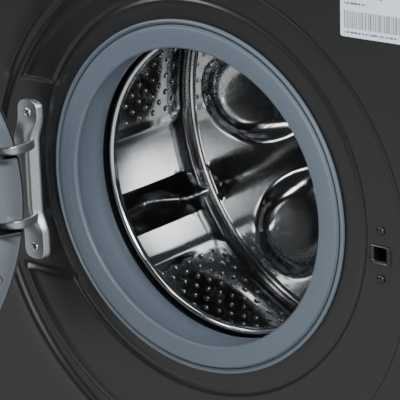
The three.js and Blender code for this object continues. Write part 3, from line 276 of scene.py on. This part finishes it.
def ring_reach(angle, ring):
    """How far from the porthole's centre a circle with its own centre lies, in each direction."""
    radius, cx, cz = ring
    along = cx * np.cos(angle) + cz * np.sin(angle)
    return along + np.sqrt(along ** 2 - cx ** 2 - cz ** 2 + radius ** 2)


def panel_depth(x, z):
    """How deep the pressed front lies behind its flat plane."""
    r = np.hypot(x, z)
    inner = np.hypot(x - CREASE[1], z - CREASE[2]) - CREASE[0]
    outer = np.hypot(x - EDGE_RING[1], z - EDGE_RING[2]) - EDGE_RING[0]
    left = smooth((60 - x) / 260)
    trough = 4.2 * left * smooth((inner + 3) / 6) * smooth((3 - outer) / 6)
    lips = -1.5 * left * (hill(inner + 6, 5.5) + hill(outer - 6, 6)) + 1.3 * (1 - left) * hill(inner, 2.4)
    upright = smooth((POCKET_TOP + 4 - z) / 7) * smooth((z - POCKET_LOW + 4) / 7) * (x < 0)
    pocket = 4.2 * upright * smooth((r - 191) / 10) * smooth((3 - outer) / 6)
    groove = (1.6 + 1.4 * left) * hill(r - RING_GROOVE, 4) - 1.0 * left * hill(r - RING_GROOVE + 6.5, 4.5)
    groove = groove * (1 - upright) - 0.9 * upright * hill(r - 191, 6)
    return np.maximum(trough, pocket) + lips * (1 - 0.8 * upright) + groove


angles = np.linspace(0, 2 * math.pi, 720, endpoint=False)
x0, x1, z0, z1 = panel_box
for cx in (x0, x1):
    for cz in (z0, z1):
        corner = math.atan2(cz, cx) % (2 * math.pi)
        angles[int(round(corner / (2 * math.pi) * 720)) % 720] = corner
with np.errstate(divide="ignore"):
    to_side = np.where(np.cos(angles) > 0, x1, x0) / np.cos(angles)
    to_end = np.where(np.sin(angles) > 0, z1, z0) / np.sin(angles)
border = np.minimum(np.abs(to_side), np.abs(to_end))
crease_at, edge_at = ring_reach(angles, CREASE), ring_reach(angles, EDGE_RING)


def between(start, end, count):
    steps = np.linspace(0, 1, count, endpoint=False)
    return [start + (end - start) * t for t in steps]


same = np.ones_like(angles)
radii = between(177 * same, 189 * same, 3) + between(189 * same, 206 * same, 20)
radii += between(206 * same, crease_at - 8, 12) + between(crease_at - 8, crease_at + 4, 14)
radii += between(crease_at + 4, edge_at - 4, 4) + between(edge_at - 4, edge_at + 8, 14)
radii += between(edge_at + 8, border * 0.996, 8)
rows = []
for r, y in ((170.0, 12.0), (170.0, 6.0), (170.4, 2.6), (171.6, 0.9), (173.6, 0.1)):
    rows.append(np.stack([r * np.cos(angles), y * same, r * np.sin(angles)], -1))
for r in radii:
    x, z = r * np.cos(angles), r * np.sin(angles)
    rows.append(np.stack([x, panel_depth(x, z), z], -1))
for share, y in ((0.996, 0.0), (0.9985, 0.25), (0.9997, 0.8), (1.0, 1.6)):
    r = border * share
    rows.append(np.stack([r * np.cos(angles), y * same, r * np.sin(angles)], -1))
front_panel = piece("front_panel_skin", np.array(rows), quads(len(rows), 720), graphite_paint, "cabinet",
                    ["front_panel"], 60, "graphite_paint")
applied(front_panel, "SOLIDIFY", thickness=0.0008, offset=1.0)

LATCH = (218.0, -15.0, 22.6, 16.6)
x, z, width, height = LATCH
slot_box = rounded_box(x - width / 2, x + width / 2, -20, 40, z - height / 2, z + height / 2, 2)
slot_tool = piece("slot_tool", *lofted(slot_box), graphite_paint, "cabinet")
low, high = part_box("filter_flap")
flap = [(low.x - port.x) * 1000 - 0.8, (high.x - port.x) * 1000 + 0.8,
        (low.z - port.z) * 1000 - 0.8, (high.z - port.z) * 1000 + 0.8]
flap_tool = piece("flap_tool", *lofted(rounded_box(flap[0], flap[1], -20, 30, flap[2], flap[3], 3)),
                  graphite_paint, "cabinet")
pierced(front_panel, slot_tool, flap_tool)

# ---- Door seal ----------------------------------------------------------------------------
# The bellows seal is moulded in blue-grey rubber. Its lip clips over the panel's flange, held
# by a wire ring in the outer groove, and its tail seats in the neck of the tub.
seal_rubber = finish("seal_rubber", (0.102, 0.130, 0.164), 0.42, 0, 0.05, 9.0, 0.05, 700.0, 0.00003)


def tube_faces(rows, columns):
    """The faces of a grid of points that closes on itself both ways."""
    last = (rows - 1) * columns
    return quads(rows, columns) + [[last + j, last + (j + 1) % columns, (j + 1) % columns, j]
                                   for j in range(columns)]


def turned(outline, steps=192):
    """Points and faces of a ring turned about the drum's axis from a closed outline of (radius, y)."""
    a = np.linspace(0, 2 * math.pi, steps, endpoint=False)
    rings = [np.stack([r * np.cos(a), y + 0 * a, r * np.sin(a)], -1) for r, y in outline]
    return np.concatenate(rings), tube_faces(len(outline), steps)


def softened(outline, times=2, closed=True):
    """Rounds an outline's corners by cutting them."""
    points = [np.array(p, float) for p in outline]
    for _ in range(times):
        count = len(points)
        cut = []
        for k in range(count if closed else count - 1):
            a, b = points[k], points[(k + 1) % count]
            cut += [0.75 * a + 0.25 * b, 0.25 * a + 0.75 * b]
        points = cut
    return [tuple(p) for p in points]


seal = softened([
    (178.5, -0.5), (169.7, -0.4), (169.7, 6), (163.7, 8), (164.7, 22), (160.7, 29), (162.7, 41), (171.7, 41),
    (171.7, 49), (163.2, 51), (157.2, 47), (154.4, 36), (158.2, 24), (158.2, 10), (155, 5.5), (151.6, 3),
    (150.2, -0.5), (150.2, -3), (151.8, -4.9), (153.8, -5.1), (159.6, -5.6), (160.4, -5.8), (161.2, -5.7),
    (166, -5.9), (170.6, -5.6), (171.6, -4.8), (172.4, -2.2), (174.8, -2.2), (175.4, -4.0), (176.4, -4.6),
    (177.8, -4.2), (178.5, -3.2), (178.6, -1.5),
], 2)
piece("door_seal", *turned(seal, 256), seal_rubber, "cabinet", ["door_gasket"], 80, "grey_rubber")

black_steel = finish("black_steel", (0.02, 0.02, 0.022), 0.35, 0.6, 0.1, 12.0, 0.05, 900.0, 0.00002)
wire = [(173.6 + 0.6 * math.cos(k * math.pi / 4), -1.9 + 0.6 * math.sin(k * math.pi / 4)) for k in range(8)]
piece("seal_wire", *turned(wire, 192), black_steel, "cabinet", ["gasket_clamp_ring"], 80, "black_steel")

# ---- Drum ---------------------------------------------------------------------------------
# The drum is rolled from bright stainless sheet, pierced from inside so that every hole has a
# rounded rim, and embossed between the lifters. Its front edge is rolled back into a lip.
bright_steel = finish("bright_steel", (0.60, 0.61, 0.62), 0.13, 1.0, 0.04, 14.0, 0.02, 260.0, 0.000004,
                      (1, 0.12, 1))

DRUM, DRUM_FRONT, DRUM_BACK = 250.0, 74.0, 307.0
HOLE_ROWS, HOLE_COUNT = 54, 10
FIRST_BAND = 187.5
columns = 3 * HOLE_ROWS * 2
steps_deep = HOLE_COUNT * 4
turn = 2 * math.pi / columns
deep = (DRUM_BACK - DRUM_FRONT) / steps_deep


def drum_offset(u, v):
    """How far the drum's wall stands out from its cylinder at lattice place (u, v)."""
    a = (u * 360 / columns) % 120
    y = DRUM_FRONT + v * deep
    arc = (a - 75) * math.radians(1) * DRUM
    dx, dy = abs(arc) - 165, abs(y - 190) - 78
    d = math.hypot(max(dx, 0), max(dy, 0)) + min(max(dx, dy), 0) - 24
    bead = -1.6 * max(0, 1 - abs(d) / 6) ** 2 * (3 - 2 * max(0, 1 - abs(d) / 6))
    seam = 1.8 * max(0, 1 - abs(y - 296) / 5) - 1.2 * max(0, 1 - abs(y - 288) / 5)
    return bead + seam, d


def drum_point(u, v, raise_by=0.0):
    offset, _ = drum_offset(u, v)
    r = DRUM + offset + raise_by
    angle = math.radians(FIRST_BAND) + u * turn
    return (r * math.cos(angle), DRUM_FRONT + v * deep, r * math.sin(angle))


points, faces, lattice = [], [], {}


def cell(u, v):
    """One face of the lattice."""
    return [lattice_point(u, v), lattice_point(u + 1, v), lattice_point(u + 1, v + 1), lattice_point(u, v + 1)]


def lattice_point(u, v):
    key = (u % columns, v)
    if key not in lattice:
        lattice[key] = len(points)
        points.append(drum_point(*key))
    return lattice[key]


rim = ((4.2, 0.0), (3.3, 0.0), (2.7, 0.3), (2.25, 1.1), (2.0, 2.2), (1.95, 3.2))
arc_step = turn * DRUM
for row in range(columns // 2):
    u0 = row * 2
    v0 = 2 if row % 2 else 0
    starts = list(range(v0, steps_deep - 3, 4))
    for v in range(steps_deep):
        inside = any(s <= v < s + 4 for s in starts)
        if not inside:
            for u in (u0, u0 + 1):
                faces.append(cell(u, v))
    for v in starts:
        _, d = drum_offset(u0 + 1, v + 2)
        if d > -9:
            for u in (u0, u0 + 1):
                for w in range(v, v + 4):
                    faces.append(cell(u, w))
            continue
        ring = [(u0, v + k) for k in range(5)] + [(u0 + 1, v + 4)]
        ring += [(u0 + 2, v + 4 - k) for k in range(5)] + [(u0 + 1, v)]
        previous = [lattice_point(*p) for p in ring]
        for radius, out in rim:
            loop = []
            for k in range(12):
                a = math.radians(180 - 30 * (k - 2))
                du, dv = radius * math.cos(a) / arc_step, radius * math.sin(a) / deep
                loop.append(len(points))
                points.append(drum_point(u0 + 1 + du, v + 2 + dv, out))
            for k in range(12):
                faces.append([previous[k], loop[k], loop[(k + 1) % 12], previous[(k + 1) % 12]])
            previous = loop
drum_wall = piece("drum_wall", points, faces, bright_steel, "drum", ["drum_shell"], 75, "polished_steel")
applied(drum_wall, "SOLIDIFY", thickness=0.0006, offset=-1.0)

front = softened([
    (250.6, 75), (250.6, 70), (247, 64), (238, 61.4), (200, 59.5), (164, 58.6), (161, 57.4), (158.6, 54.4),
    (155, 52.8), (151.6, 54.4), (150.3, 58), (151.6, 61.6), (154.4, 63), (157.4, 62), (159.6, 60.4),
    (164, 60.4), (200, 61.2), (238, 63.2), (246.2, 66), (249.6, 71), (249.6, 75),
], 2)
piece("drum_front", *turned(front, 256), bright_steel, "drum", (), 80, "polished_steel")

# ---- Drum back ----------------------------------------------------------------------------
# One pressed disc of the same stainless sheet, with six petals that stand towards the door, a
# ring groove at the seam, and a short slot pressed in each gap near the rim.
PETAL_AT, PETAL_PITCH = 175.0, 60.0
PETAL_MIDDLE, PETAL_REACH, PETAL_RISE = 142.0, 81.0, 14.0
PRESSED_SLOT = 226.0


def back_depth(x, z):
    r = np.hypot(x, z)
    turned_by = np.degrees(np.arctan2(z, x)) - PETAL_AT
    a = (turned_by + PETAL_PITCH / 2) % PETAL_PITCH - PETAL_PITCH / 2
    reach = ((r - PETAL_MIDDLE) / PETAL_REACH) ** 2 + (np.radians(a) * r / (0.26 * r + 15)) ** 2
    petal = PETAL_RISE * smooth(1.2 * (1 - reach))
    gap = turned_by % PETAL_PITCH - PETAL_PITCH / 2
    along = np.maximum(np.abs(np.radians(gap) * r) - 14, 0)
    slot = np.hypot(along, r - PRESSED_SLOT) - 5.2
    pressed = 4.0 * smooth((1.2 - slot) / 2.4) - 0.8 * hill(slot - 1.6, 1.8)
    seam = 2.5 * hill(r - 247, 3)
    level = DRUM_BACK - 2 - 16 * smooth((243 - r) / 14)
    return level - petal + pressed + seam


radii = np.concatenate([np.linspace(0.5, 214, 66), np.linspace(215, 250, 36)])
a = np.linspace(0, 2 * math.pi, 600, endpoint=False)
rows = []
for r in radii:
    x, z = r * np.cos(a), r * np.sin(a)
    rows.append(np.stack([x, back_depth(x, z), z], -1))
faces = quads(len(rows), 600) + [list(range(600))]
drum_disc = piece("drum_disc", np.array(rows), faces, bright_steel, "drum", ["drum_back"], 80, "polished_steel")
applied(drum_disc, "SOLIDIFY", thickness=0.0007, offset=1.0)

# ---- Lifters ------------------------------------------------------------------------------
# Three hollow wedges of the same sheet, riveted inside the wall a third of a turn apart. Each
# has a wavy crest with two short rows of small dimpled water holes, one just off each side.
LIFTER_START, LIFTER_END, LIFTER_HALF, LIFTER_RISE = 84.0, 290.0, 23.0, 44.0
LIFTER_AT = 205.0
HOLE_ROWS_AT, HOLES_IN_ROW, HOLE_PITCH, HOLE_ASIDE = (149.0, 209.0), 4, 10.5, 0.75
s, t = np.meshgrid(np.linspace(LIFTER_START, LIFTER_END, 210), np.linspace(-1, 1, 56), indexing="ij")
wave = -7.4 + 13.0 * smooth((s - 152) / 80)
offset = LIFTER_HALF * t + wave * (1 - t * t)
ends = smooth((s - LIFTER_START) / 34) * smooth((LIFTER_END - s) / 34)
tent = (1 - np.abs(t)) ** 1.15
crest = LIFTER_RISE * ends * (tent * (1 - hill(t, 0.16)) + hill(t, 0.16) * 0.93)
from_crest = (offset - wave) * 206 / 225
for row_start, side in zip(HOLE_ROWS_AT, (-1, 1)):
    for k in range(HOLES_IN_ROW):
        aside = from_crest - side * HOLE_ASIDE
        crest = crest - 5.0 * hill(np.hypot(s - row_start - k * HOLE_PITCH, aside), 3.2)
for number in range(3):
    middle = math.radians(LIFTER_AT + 120 * number)
    angle = middle + offset / 225
    r = DRUM + 0.6 - crest
    points = np.stack([r * np.cos(angle), s, r * np.sin(angle)], -1)
    piece(f"lifter_{number + 1}_shell", points, quads(210, 56, False), bright_steel, "drum",
          [f"lifter_{number + 1}"], 80, "polished_steel")

# ---- Door lock and its cover --------------------------------------------------------------
# The lock is screwed behind the panel with two black dome screws. A moulded frame lines the
# slot that the door's hook enters.
black_plastic = finish("black_plastic", (0.007, 0.007, 0.0075), 0.30, 0, 0.1, 20.0, 0.05, 900.0, 0.00003)


def loop_at(shape, y, grow=0.0):
    """A rectangle with round corners, as a loop of points at one depth."""
    x0, x1, z0, z1, r = shape
    return rounded_box(x0 - grow, x1 + grow, y, y, z0 - grow, z1 + grow, max(0.2, r + grow))[0]


outer = (206.6, 229.4, -24.2, -5.8, 2.2)
inner = (210.0, 223.4, -21.2, -8.8, 1.2)
frame_loops = [loop_at(outer, 6.5, -1.6), loop_at(outer, 0.4, -1.6), loop_at(outer, -0.2, 0),
               loop_at(outer, -1.2, -0.2), loop_at(outer, -1.7, -1.0), loop_at(inner, -1.0, 1.4),
               loop_at(inner, 0.4, 0.2), loop_at(inner, 6.5, 0)]
points = lofted(frame_loops, False)[0]
faces = tube_faces(len(frame_loops), len(frame_loops[0]))
piece("lock_frame", points, faces, black_plastic, "cabinet", (), 35, "black_plastic")


def screw(name, x, z, seat, radius, dome, material, body, node, slot, recess):
    """A domed head with a recess: six-lobed where the factor is above nothing, plain where it is 0."""
    a = np.linspace(0, 2 * math.pi, 48, endpoint=False)
    lobes = 1 + 0.22 * np.cos(6 * a) * (recess > 0)
    rings = [(radius * 0.98, seat + 0.6, 0), (radius, seat - 0.2, 0), (radius * 0.96, seat - dome * 0.35, 0),
             (radius * 0.84, seat - dome * 0.72, 0), (radius * 0.62, seat - dome * 0.93, 0),
             (radius * 0.46, seat - dome, 1), (radius * 0.42, seat - dome + 0.15, 1),
             (radius * 0.38, seat - dome + 1.5, 1)]
    points = []
    for r, y, star in rings:
        factor = np.where(star, lobes, 1.0)
        points.append(np.stack([x + r * factor * np.cos(a), y + 0 * a, z + r * factor * np.sin(a)], -1))
    count = len(rings) if recess else 6
    faces = quads(count, 48) + [[(count - 1) * 48 + k for k in reversed(range(48))], list(range(48))]
    piece(name, np.array(points[:count]), faces, material, body, [node], 38, slot)


for word, z in (("upper", 8.5), ("lower", -38.5)):
    screw(f"lock_screw_{word}", LATCH[0], z, -0.3, 4.4, 2.6, black_plastic, "cabinet", f"latch_screw_{word}",
          "black_steel", 0)

# ---- Hinge bracket ------------------------------------------------------------------------
# A zinc die casting, fastened in the pressed pocket by a machine screw through each head. Its
# two arms curl forward to the hinge pin, with a dished channel between them.
cast_zinc = finish("cast_zinc", (0.36, 0.385, 0.405), 0.30, 0.85, 0.10, 30.0, 0.06, 1500.0, 0.00006)
zinc_screw = finish("zinc_screw", (0.46, 0.45, 0.43), 0.28, 1.0, 0.15, 60.0, 0.08, 900.0, 0.00003)
HINGE_MIDDLE, HEAD_AT, ARM_AT = -17.6, 73.0, 40.0
PIVOT = (-230.0, -33.0)

rows = []
for t in np.linspace(-HEAD_AT - 13, HEAD_AT + 13, 150):
    over = max(0.0, abs(t) - HEAD_AT + 4)
    head = float(smooth((abs(t) - (40 if t > 0 else 30)) / 30))
    corner = 1 - math.sqrt(max(0.0, 1 - (over / 17.0) ** 4))
    edge = -212.5 + 11.5 * head - 9 * corner
    base = edge + 6.5 - 4 * head
    left = -234 + 5 * head + 11 * corner
    row = []
    for k in range(29):
        x = left + (edge - left) * k / 28
        u = k / 28
        trough = (1 - head) * (7.0 * math.sin(math.pi * min(1, u * 0.98 + 0.02)) ** 0.8 - 3.0)
        brim = 1.2 * (1 - min(1.0, min(u, 1 - u) / 0.05)) ** 2
        row.append((x, -3.6 + trough + brim, HINGE_MIDDLE + t))
    for share in (0.12, 0.4, 0.75, 1.0):
        fall = -2.4 - 3.0 * (1 - head) * (1 - share) + 4.6 * share
        row.append((edge + (base - edge) * share, fall, HINGE_MIDDLE + t))
    rows.append(row)
front_skin = np.array(rows)
back_skin = front_skin.copy()
back_skin[:, :, 1] = 3.4
points = np.concatenate([front_skin.reshape(-1, 3), back_skin.reshape(-1, 3)])
shift = 150 * 33
faces = [f[::-1] for f in quads(150, 33, False)] + quads(150, 33, False, shift)
rim_loop = [k for k in range(33)] + [33 * r + 32 for r in range(1, 150)]
rim_loop += [33 * 149 + k for k in range(31, -1, -1)] + [33 * r for r in range(148, 0, -1)]
for a, b in zip(rim_loop, rim_loop[1:] + rim_loop[:1]):
    faces.append([a, b, b + shift, a + shift])
piece("hinge_bracket_plate", points, faces, cast_zinc, "cabinet", ["hinge_bracket"], 50, "cast_metal")


def arm(name, middle, path, thick, tall, body, material):
    """A bar with round edges along a path in x and y, centred on one height."""
    path = [np.array(p, float) for p in path]
    loops = []
    for k, here in enumerate(path):
        ahead = path[min(k + 1, len(path) - 1)] - path[max(k - 1, 0)]
        ahead = ahead / np.linalg.norm(ahead)
        normal = np.array([-ahead[1], ahead[0]])
        loop = []
        for j in range(24):
            a = 2 * math.pi * j / 24
            u = math.copysign(abs(math.cos(a)) ** 0.45, math.cos(a)) * thick / 2
            v = math.copysign(abs(math.sin(a)) ** 0.45, math.sin(a)) * tall / 2
            spot = here + normal * u
            loop.append((spot[0], spot[1], middle + v))
        loops.append(loop)
    points, faces = lofted(loops)
    piece(name, points, faces, material, body, (), 50, "cast_metal")


curve = []
for k in range(25):
    t = k / 24
    p0, p1, p2, p3 = (-213, 1), (-203, -16), (-204, -41), (-231, -38.5)
    curve.append(tuple((1 - t) ** 3 * a + 3 * t * (1 - t) ** 2 * b + 3 * t * t * (1 - t) * c + t ** 3 * d
                       for a, b, c, d in zip(p0, p1, p2, p3)))
for word, side in (("upper", 1), ("lower", -1)):
    arm(f"hinge_arm_{word}", HINGE_MIDDLE + side * ARM_AT, curve, 6.0, 10.0, "cabinet", cast_zinc)
    eye = [(8.0, -5.0), (8.0, 5.0), (4.4, 5.0), (4.4, -5.0)]
    a = np.linspace(0, 2 * math.pi, 48, endpoint=False)
    ring = [(r, dz) for r, dz in softened(eye, 1)]
    level = HINGE_MIDDLE + side * ARM_AT
    points = np.array([[(PIVOT[0] + r * math.cos(t), PIVOT[1] + r * math.sin(t), level + dz) for t in a]
                       for r, dz in ring])
    piece(f"hinge_eye_{word}", points, tube_faces(len(ring), 48), cast_zinc, "cabinet", (), 40, "cast_metal")
    screw(f"bracket_screw_{word}", -214.5, HINGE_MIDDLE + side * HEAD_AT, -3.6, 5.0, 1.9, zinc_screw, "cabinet",
          f"hinge_screw_{word}", "zinc_plated_steel", 1)

# ---- Door ---------------------------------------------------------------------------------
# The door hangs open. Its outer ring is moulded in graphite plastic, a light grey plate closes
# the back and holds the pressed glass bowl, and eight screws draw the two together.
grey_plate = finish("grey_plate", (0.15, 0.17, 0.195), 0.36, 0.2, 0.04, 8.0, 0.04, 1400.0, 0.00003)
graphite_plastic = finish("graphite_plastic", (0.030, 0.031, 0.033), 0.36, 0, 0.08, 6.0, 0.04, 1300.0,
                          0.00004)
bowl_glass = finish("bowl_glass", (0.86, 0.90, 0.92), 0.03, 0, 0.02, 6.0, 0.01, 40.0, 0.00002, clear=1.0)
OPEN = math.radians(-115)


def swung(points):
    """Turns points of the shut door about the hinge pin to where it stands open."""
    points = np.asarray(points, float).reshape(-1, 3).copy()
    x, y = points[:, 0] - PIVOT[0], points[:, 1] - PIVOT[1]
    points[:, 0] = PIVOT[0] + x * math.cos(OPEN) - y * math.sin(OPEN)
    points[:, 1] = PIVOT[1] + x * math.sin(OPEN) + y * math.cos(OPEN)
    return points


def slots(inner_x, y0, y1):
    tools = []
    for side in (1, -1):
        z = HINGE_MIDDLE + side * ARM_AT
        points, faces = lofted(rounded_box(-290, inner_x, y0, y1, z - 7, z + 7, 2))
        tools.append(piece("slot_tool", swung(points), faces, grey_plate, "door"))
    return tools


DISH = (-3.4, -24.6)
shell = softened([(158, -48), (226, -48), (238, -45), (243, -39), (244, -32), (244, -10), (241, -10),
                  (241, -31), (240, -37), (236, -42), (226, -45), (161, -45), (161, -20), (158, -20)], 2)
a = np.linspace(0, 2 * math.pi, 192, endpoint=False)
points = []
for r, y in shell:
    share = min(1, max(0, (r - 161) / 65))
    points.append(np.stack([share * DISH[0] + r * np.cos(a), y + 0 * a, share * DISH[1] + r * np.sin(a)], -1))
door_shell = piece("door_shell", swung(np.array(points)), tube_faces(len(shell), 192), graphite_plastic, "door",
                   ["door_ring"], 60, "graphite_plastic")
pierced(door_shell, *slots(-228, -60, 5))
points = []
plate_outline = ((0.0, -12), (0.0, -8.6), (0.004, -8), (0.2, -8.0), (0.8, -8.0), (0.975, -8.0), (0.985, -8.8),
                 (0.992, -8.8), (0.996, -8.2), (1.0, -8.6), (1.0, -12))
for share, y in plate_outline:
    cx, cz = DISH[0] * share, DISH[1] * share
    r = 141 + (240.5 - 141) * share
    points.append(np.stack([cx + r * np.cos(a), y + 0 * a, cz + r * np.sin(a)], -1))
door_plate = piece("door_back_plate", swung(np.array(points)), tube_faces(len(plate_outline), 192), grey_plate,
                   "door", ["door_plate"], 40, "grey_plastic")
points, faces = lofted(rounded_box(206, 228, -20, 5, -23, -7, 2))
hook_hole = piece("slot_tool", swung(points), faces, grey_plate, "door")
pierced(door_plate, *slots(-198, -20, 5), hook_hole)
bowl = softened([(0.01, 95), (106.3, 95), (117.3, 91), (125.3, 81), (134.3, 38), (139.3, -2), (140.3, -13.3),
                 (157, -13.3), (157, -18.3), (135.3, -18.3), (134.3, -3), (129.3, 36), (120.3, 78),
                 (113.3, 87), (103.3, 90), (0.01, 90)], 2)
points, faces = turned(bowl, 128)
piece("door_bowl", swung(points), faces, bowl_glass, "door", ["door_glass"], 60, "bowl_glass")
screw_outline = ((4.6, -8.2), (4.6, -7.6), (4.0, -6.9), (2.4, -6.4), (2.0, -6.4), (1.7, -7.4))
for k in range(8):
    a0 = math.radians(22.5 + 45 * k)
    x, z = DISH[0] + 226 * math.cos(a0), DISH[1] + 226 * math.sin(a0)
    t = np.linspace(0, 2 * math.pi, 24, endpoint=False)
    points = np.array([[(x + r * math.cos(v), y, z + r * math.sin(v)) for v in t] for r, y in screw_outline])
    faces = [f[::-1] for f in quads(6, 24)] + [[5 * 24 + j for j in range(24)]]
    piece(f"plate_screw_{k + 1}", swung(points), faces, zinc_screw, "door", (), 40, "zinc_plated_steel")

# ---- Rating label -------------------------------------------------------------------------
# A white film label on the panel. It carries a plain pattern of bars in place of print.
label_film = finish("label_film", (0.74, 0.84, 0.97), 0.4, 0, 0.02, 20.0, 0.03, 1200.0, 0.00001)
tree = label_film.node_tree
wire = Wire(tree)
place = wire.node("TexCoord", out=3)
split = wire.node("SeparateXYZ", {}, {0: place})
right, rise = split, Wire(tree, split.socket.node.outputs[2])
low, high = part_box("rating_label")
across = (right - low.x) * 1000
down = (rise - low.z) * 1000
one_way = {"noise_dimensions": "1D"}
stripe = wire.node("TexNoise", one_way, {"W": across * 0.9, "Scale": 1.0, "Detail": 1.0}) > 0.5
code = stripe * (across > 4) * (across < 84) * (down > 8) * (down < 24)
grain = wire.node("TexNoise", one_way, {"W": across * 0.55, "Scale": 1.0, "Detail": 0.0}) > 0.42
line_a = grain * (across > 4) * (across < 46) * (down > 37) * (down < 40.5)
line_b = grain * (across > 4) * (across < 28) * (down > 30) * (down < 32)
line_c = grain * (across > 4) * (across < 62) * (down > 3.4) * (down < 5.2)
ink = (code + line_a + line_b + line_c) * 0.86
base = tree.nodes["Principled BSDF"].inputs["Base Color"]
film = Wire(tree, base.links[0].from_socket)
printed = wire.node("Mix", {"data_type": "RGBA"}, {0: ink, 6: film, 7: (0.05, 0.055, 0.06, 1)}, 2)
tree.links.new(printed.socket, base)
shape = [(v - port.x) * 1000 for v in (low.x, high.x)] + [(v - port.z) * 1000 for v in (low.z, high.z)]
shape.append(2.5)
points, faces = lofted([loop_at(shape, y, g) for y, g in ((0.0, 0), (-0.15, 0), (-0.25, -0.1))])
piece("label", points, faces, label_film, "cabinet", ["rating_label"], 40, "label_film")

# ---- Finishes of the pieces kept as they were drawn ---------------------------------------
# Tub and drawer are moulded plastic, the weights cast concrete, the rear and base zinc plated
# sheet, and the drive is steel, cast metal and rubber.
kept = {
    "graphite_paint": graphite_paint,
    "graphite_plastic": graphite_plastic,
    "black_plastic": black_plastic,
    "black_steel": black_steel,
    "polished_steel": bright_steel,
    "cast_metal": cast_zinc,
    "grey_rubber": seal_rubber,
    "label_film": label_film,
    "bowl_glass": bowl_glass,
    "lid_laminate": finish("lid_laminate", (0.026, 0.027, 0.029), 0.42, 0, 0.1, 5.0, 0.05, 700.0, 0.00006),
    "black_gloss": finish("black_gloss", (0.008, 0.008, 0.009), 0.07, 0, 0.05, 4.0, 0.02, 300.0, 0.000004,
                          coat=1.0),
    "satin_metal": finish("satin_metal", (0.50, 0.51, 0.53), 0.30, 1.0, 0.05, 30.0, 0.05, 900.0, 0.00003,
                          (1, 0.05, 1)),
    "grey_plastic": finish("grey_plastic", (0.42, 0.44, 0.46), 0.42, 0, 0.04, 8.0, 0.05, 1200.0, 0.00004),
    # The tub plastic is set near black, darker than the grey it is moulded in: painted shade for the dark gap
    # behind the seal.
    "tub_plastic": finish("tub_plastic", (0.10, 0.105, 0.11), 0.6, 0, 0.08, 8.0, 0.05, 500.0, 0.00008),
    "white_plastic": finish("white_plastic", (0.72, 0.72, 0.70), 0.4, 0, 0.03, 8.0, 0.05, 1000.0, 0.00004),
    "black_rubber": finish("black_rubber", (0.011, 0.011, 0.011), 0.7, 0, 0.15, 20.0, 0.08, 600.0, 0.0001),
    "zinc_plated_steel": finish("zinc_plated_steel", (0.44, 0.45, 0.46), 0.34, 1.0, 0.12, 9.0, 0.10, 300.0,
                                0.00004),
    "concrete": finish("concrete", (0.26, 0.255, 0.24), 0.9, 0, 0.2, 12.0, 0.05, 120.0, 0.0006),
}
slot_of = {part["node"]: part["material_slot"] for part in frame["record"]["subparts"]}
for node, part in frame["nodes"].items():
    part.data.materials.clear()
    part.data.materials.append(kept[slot_of[node]])
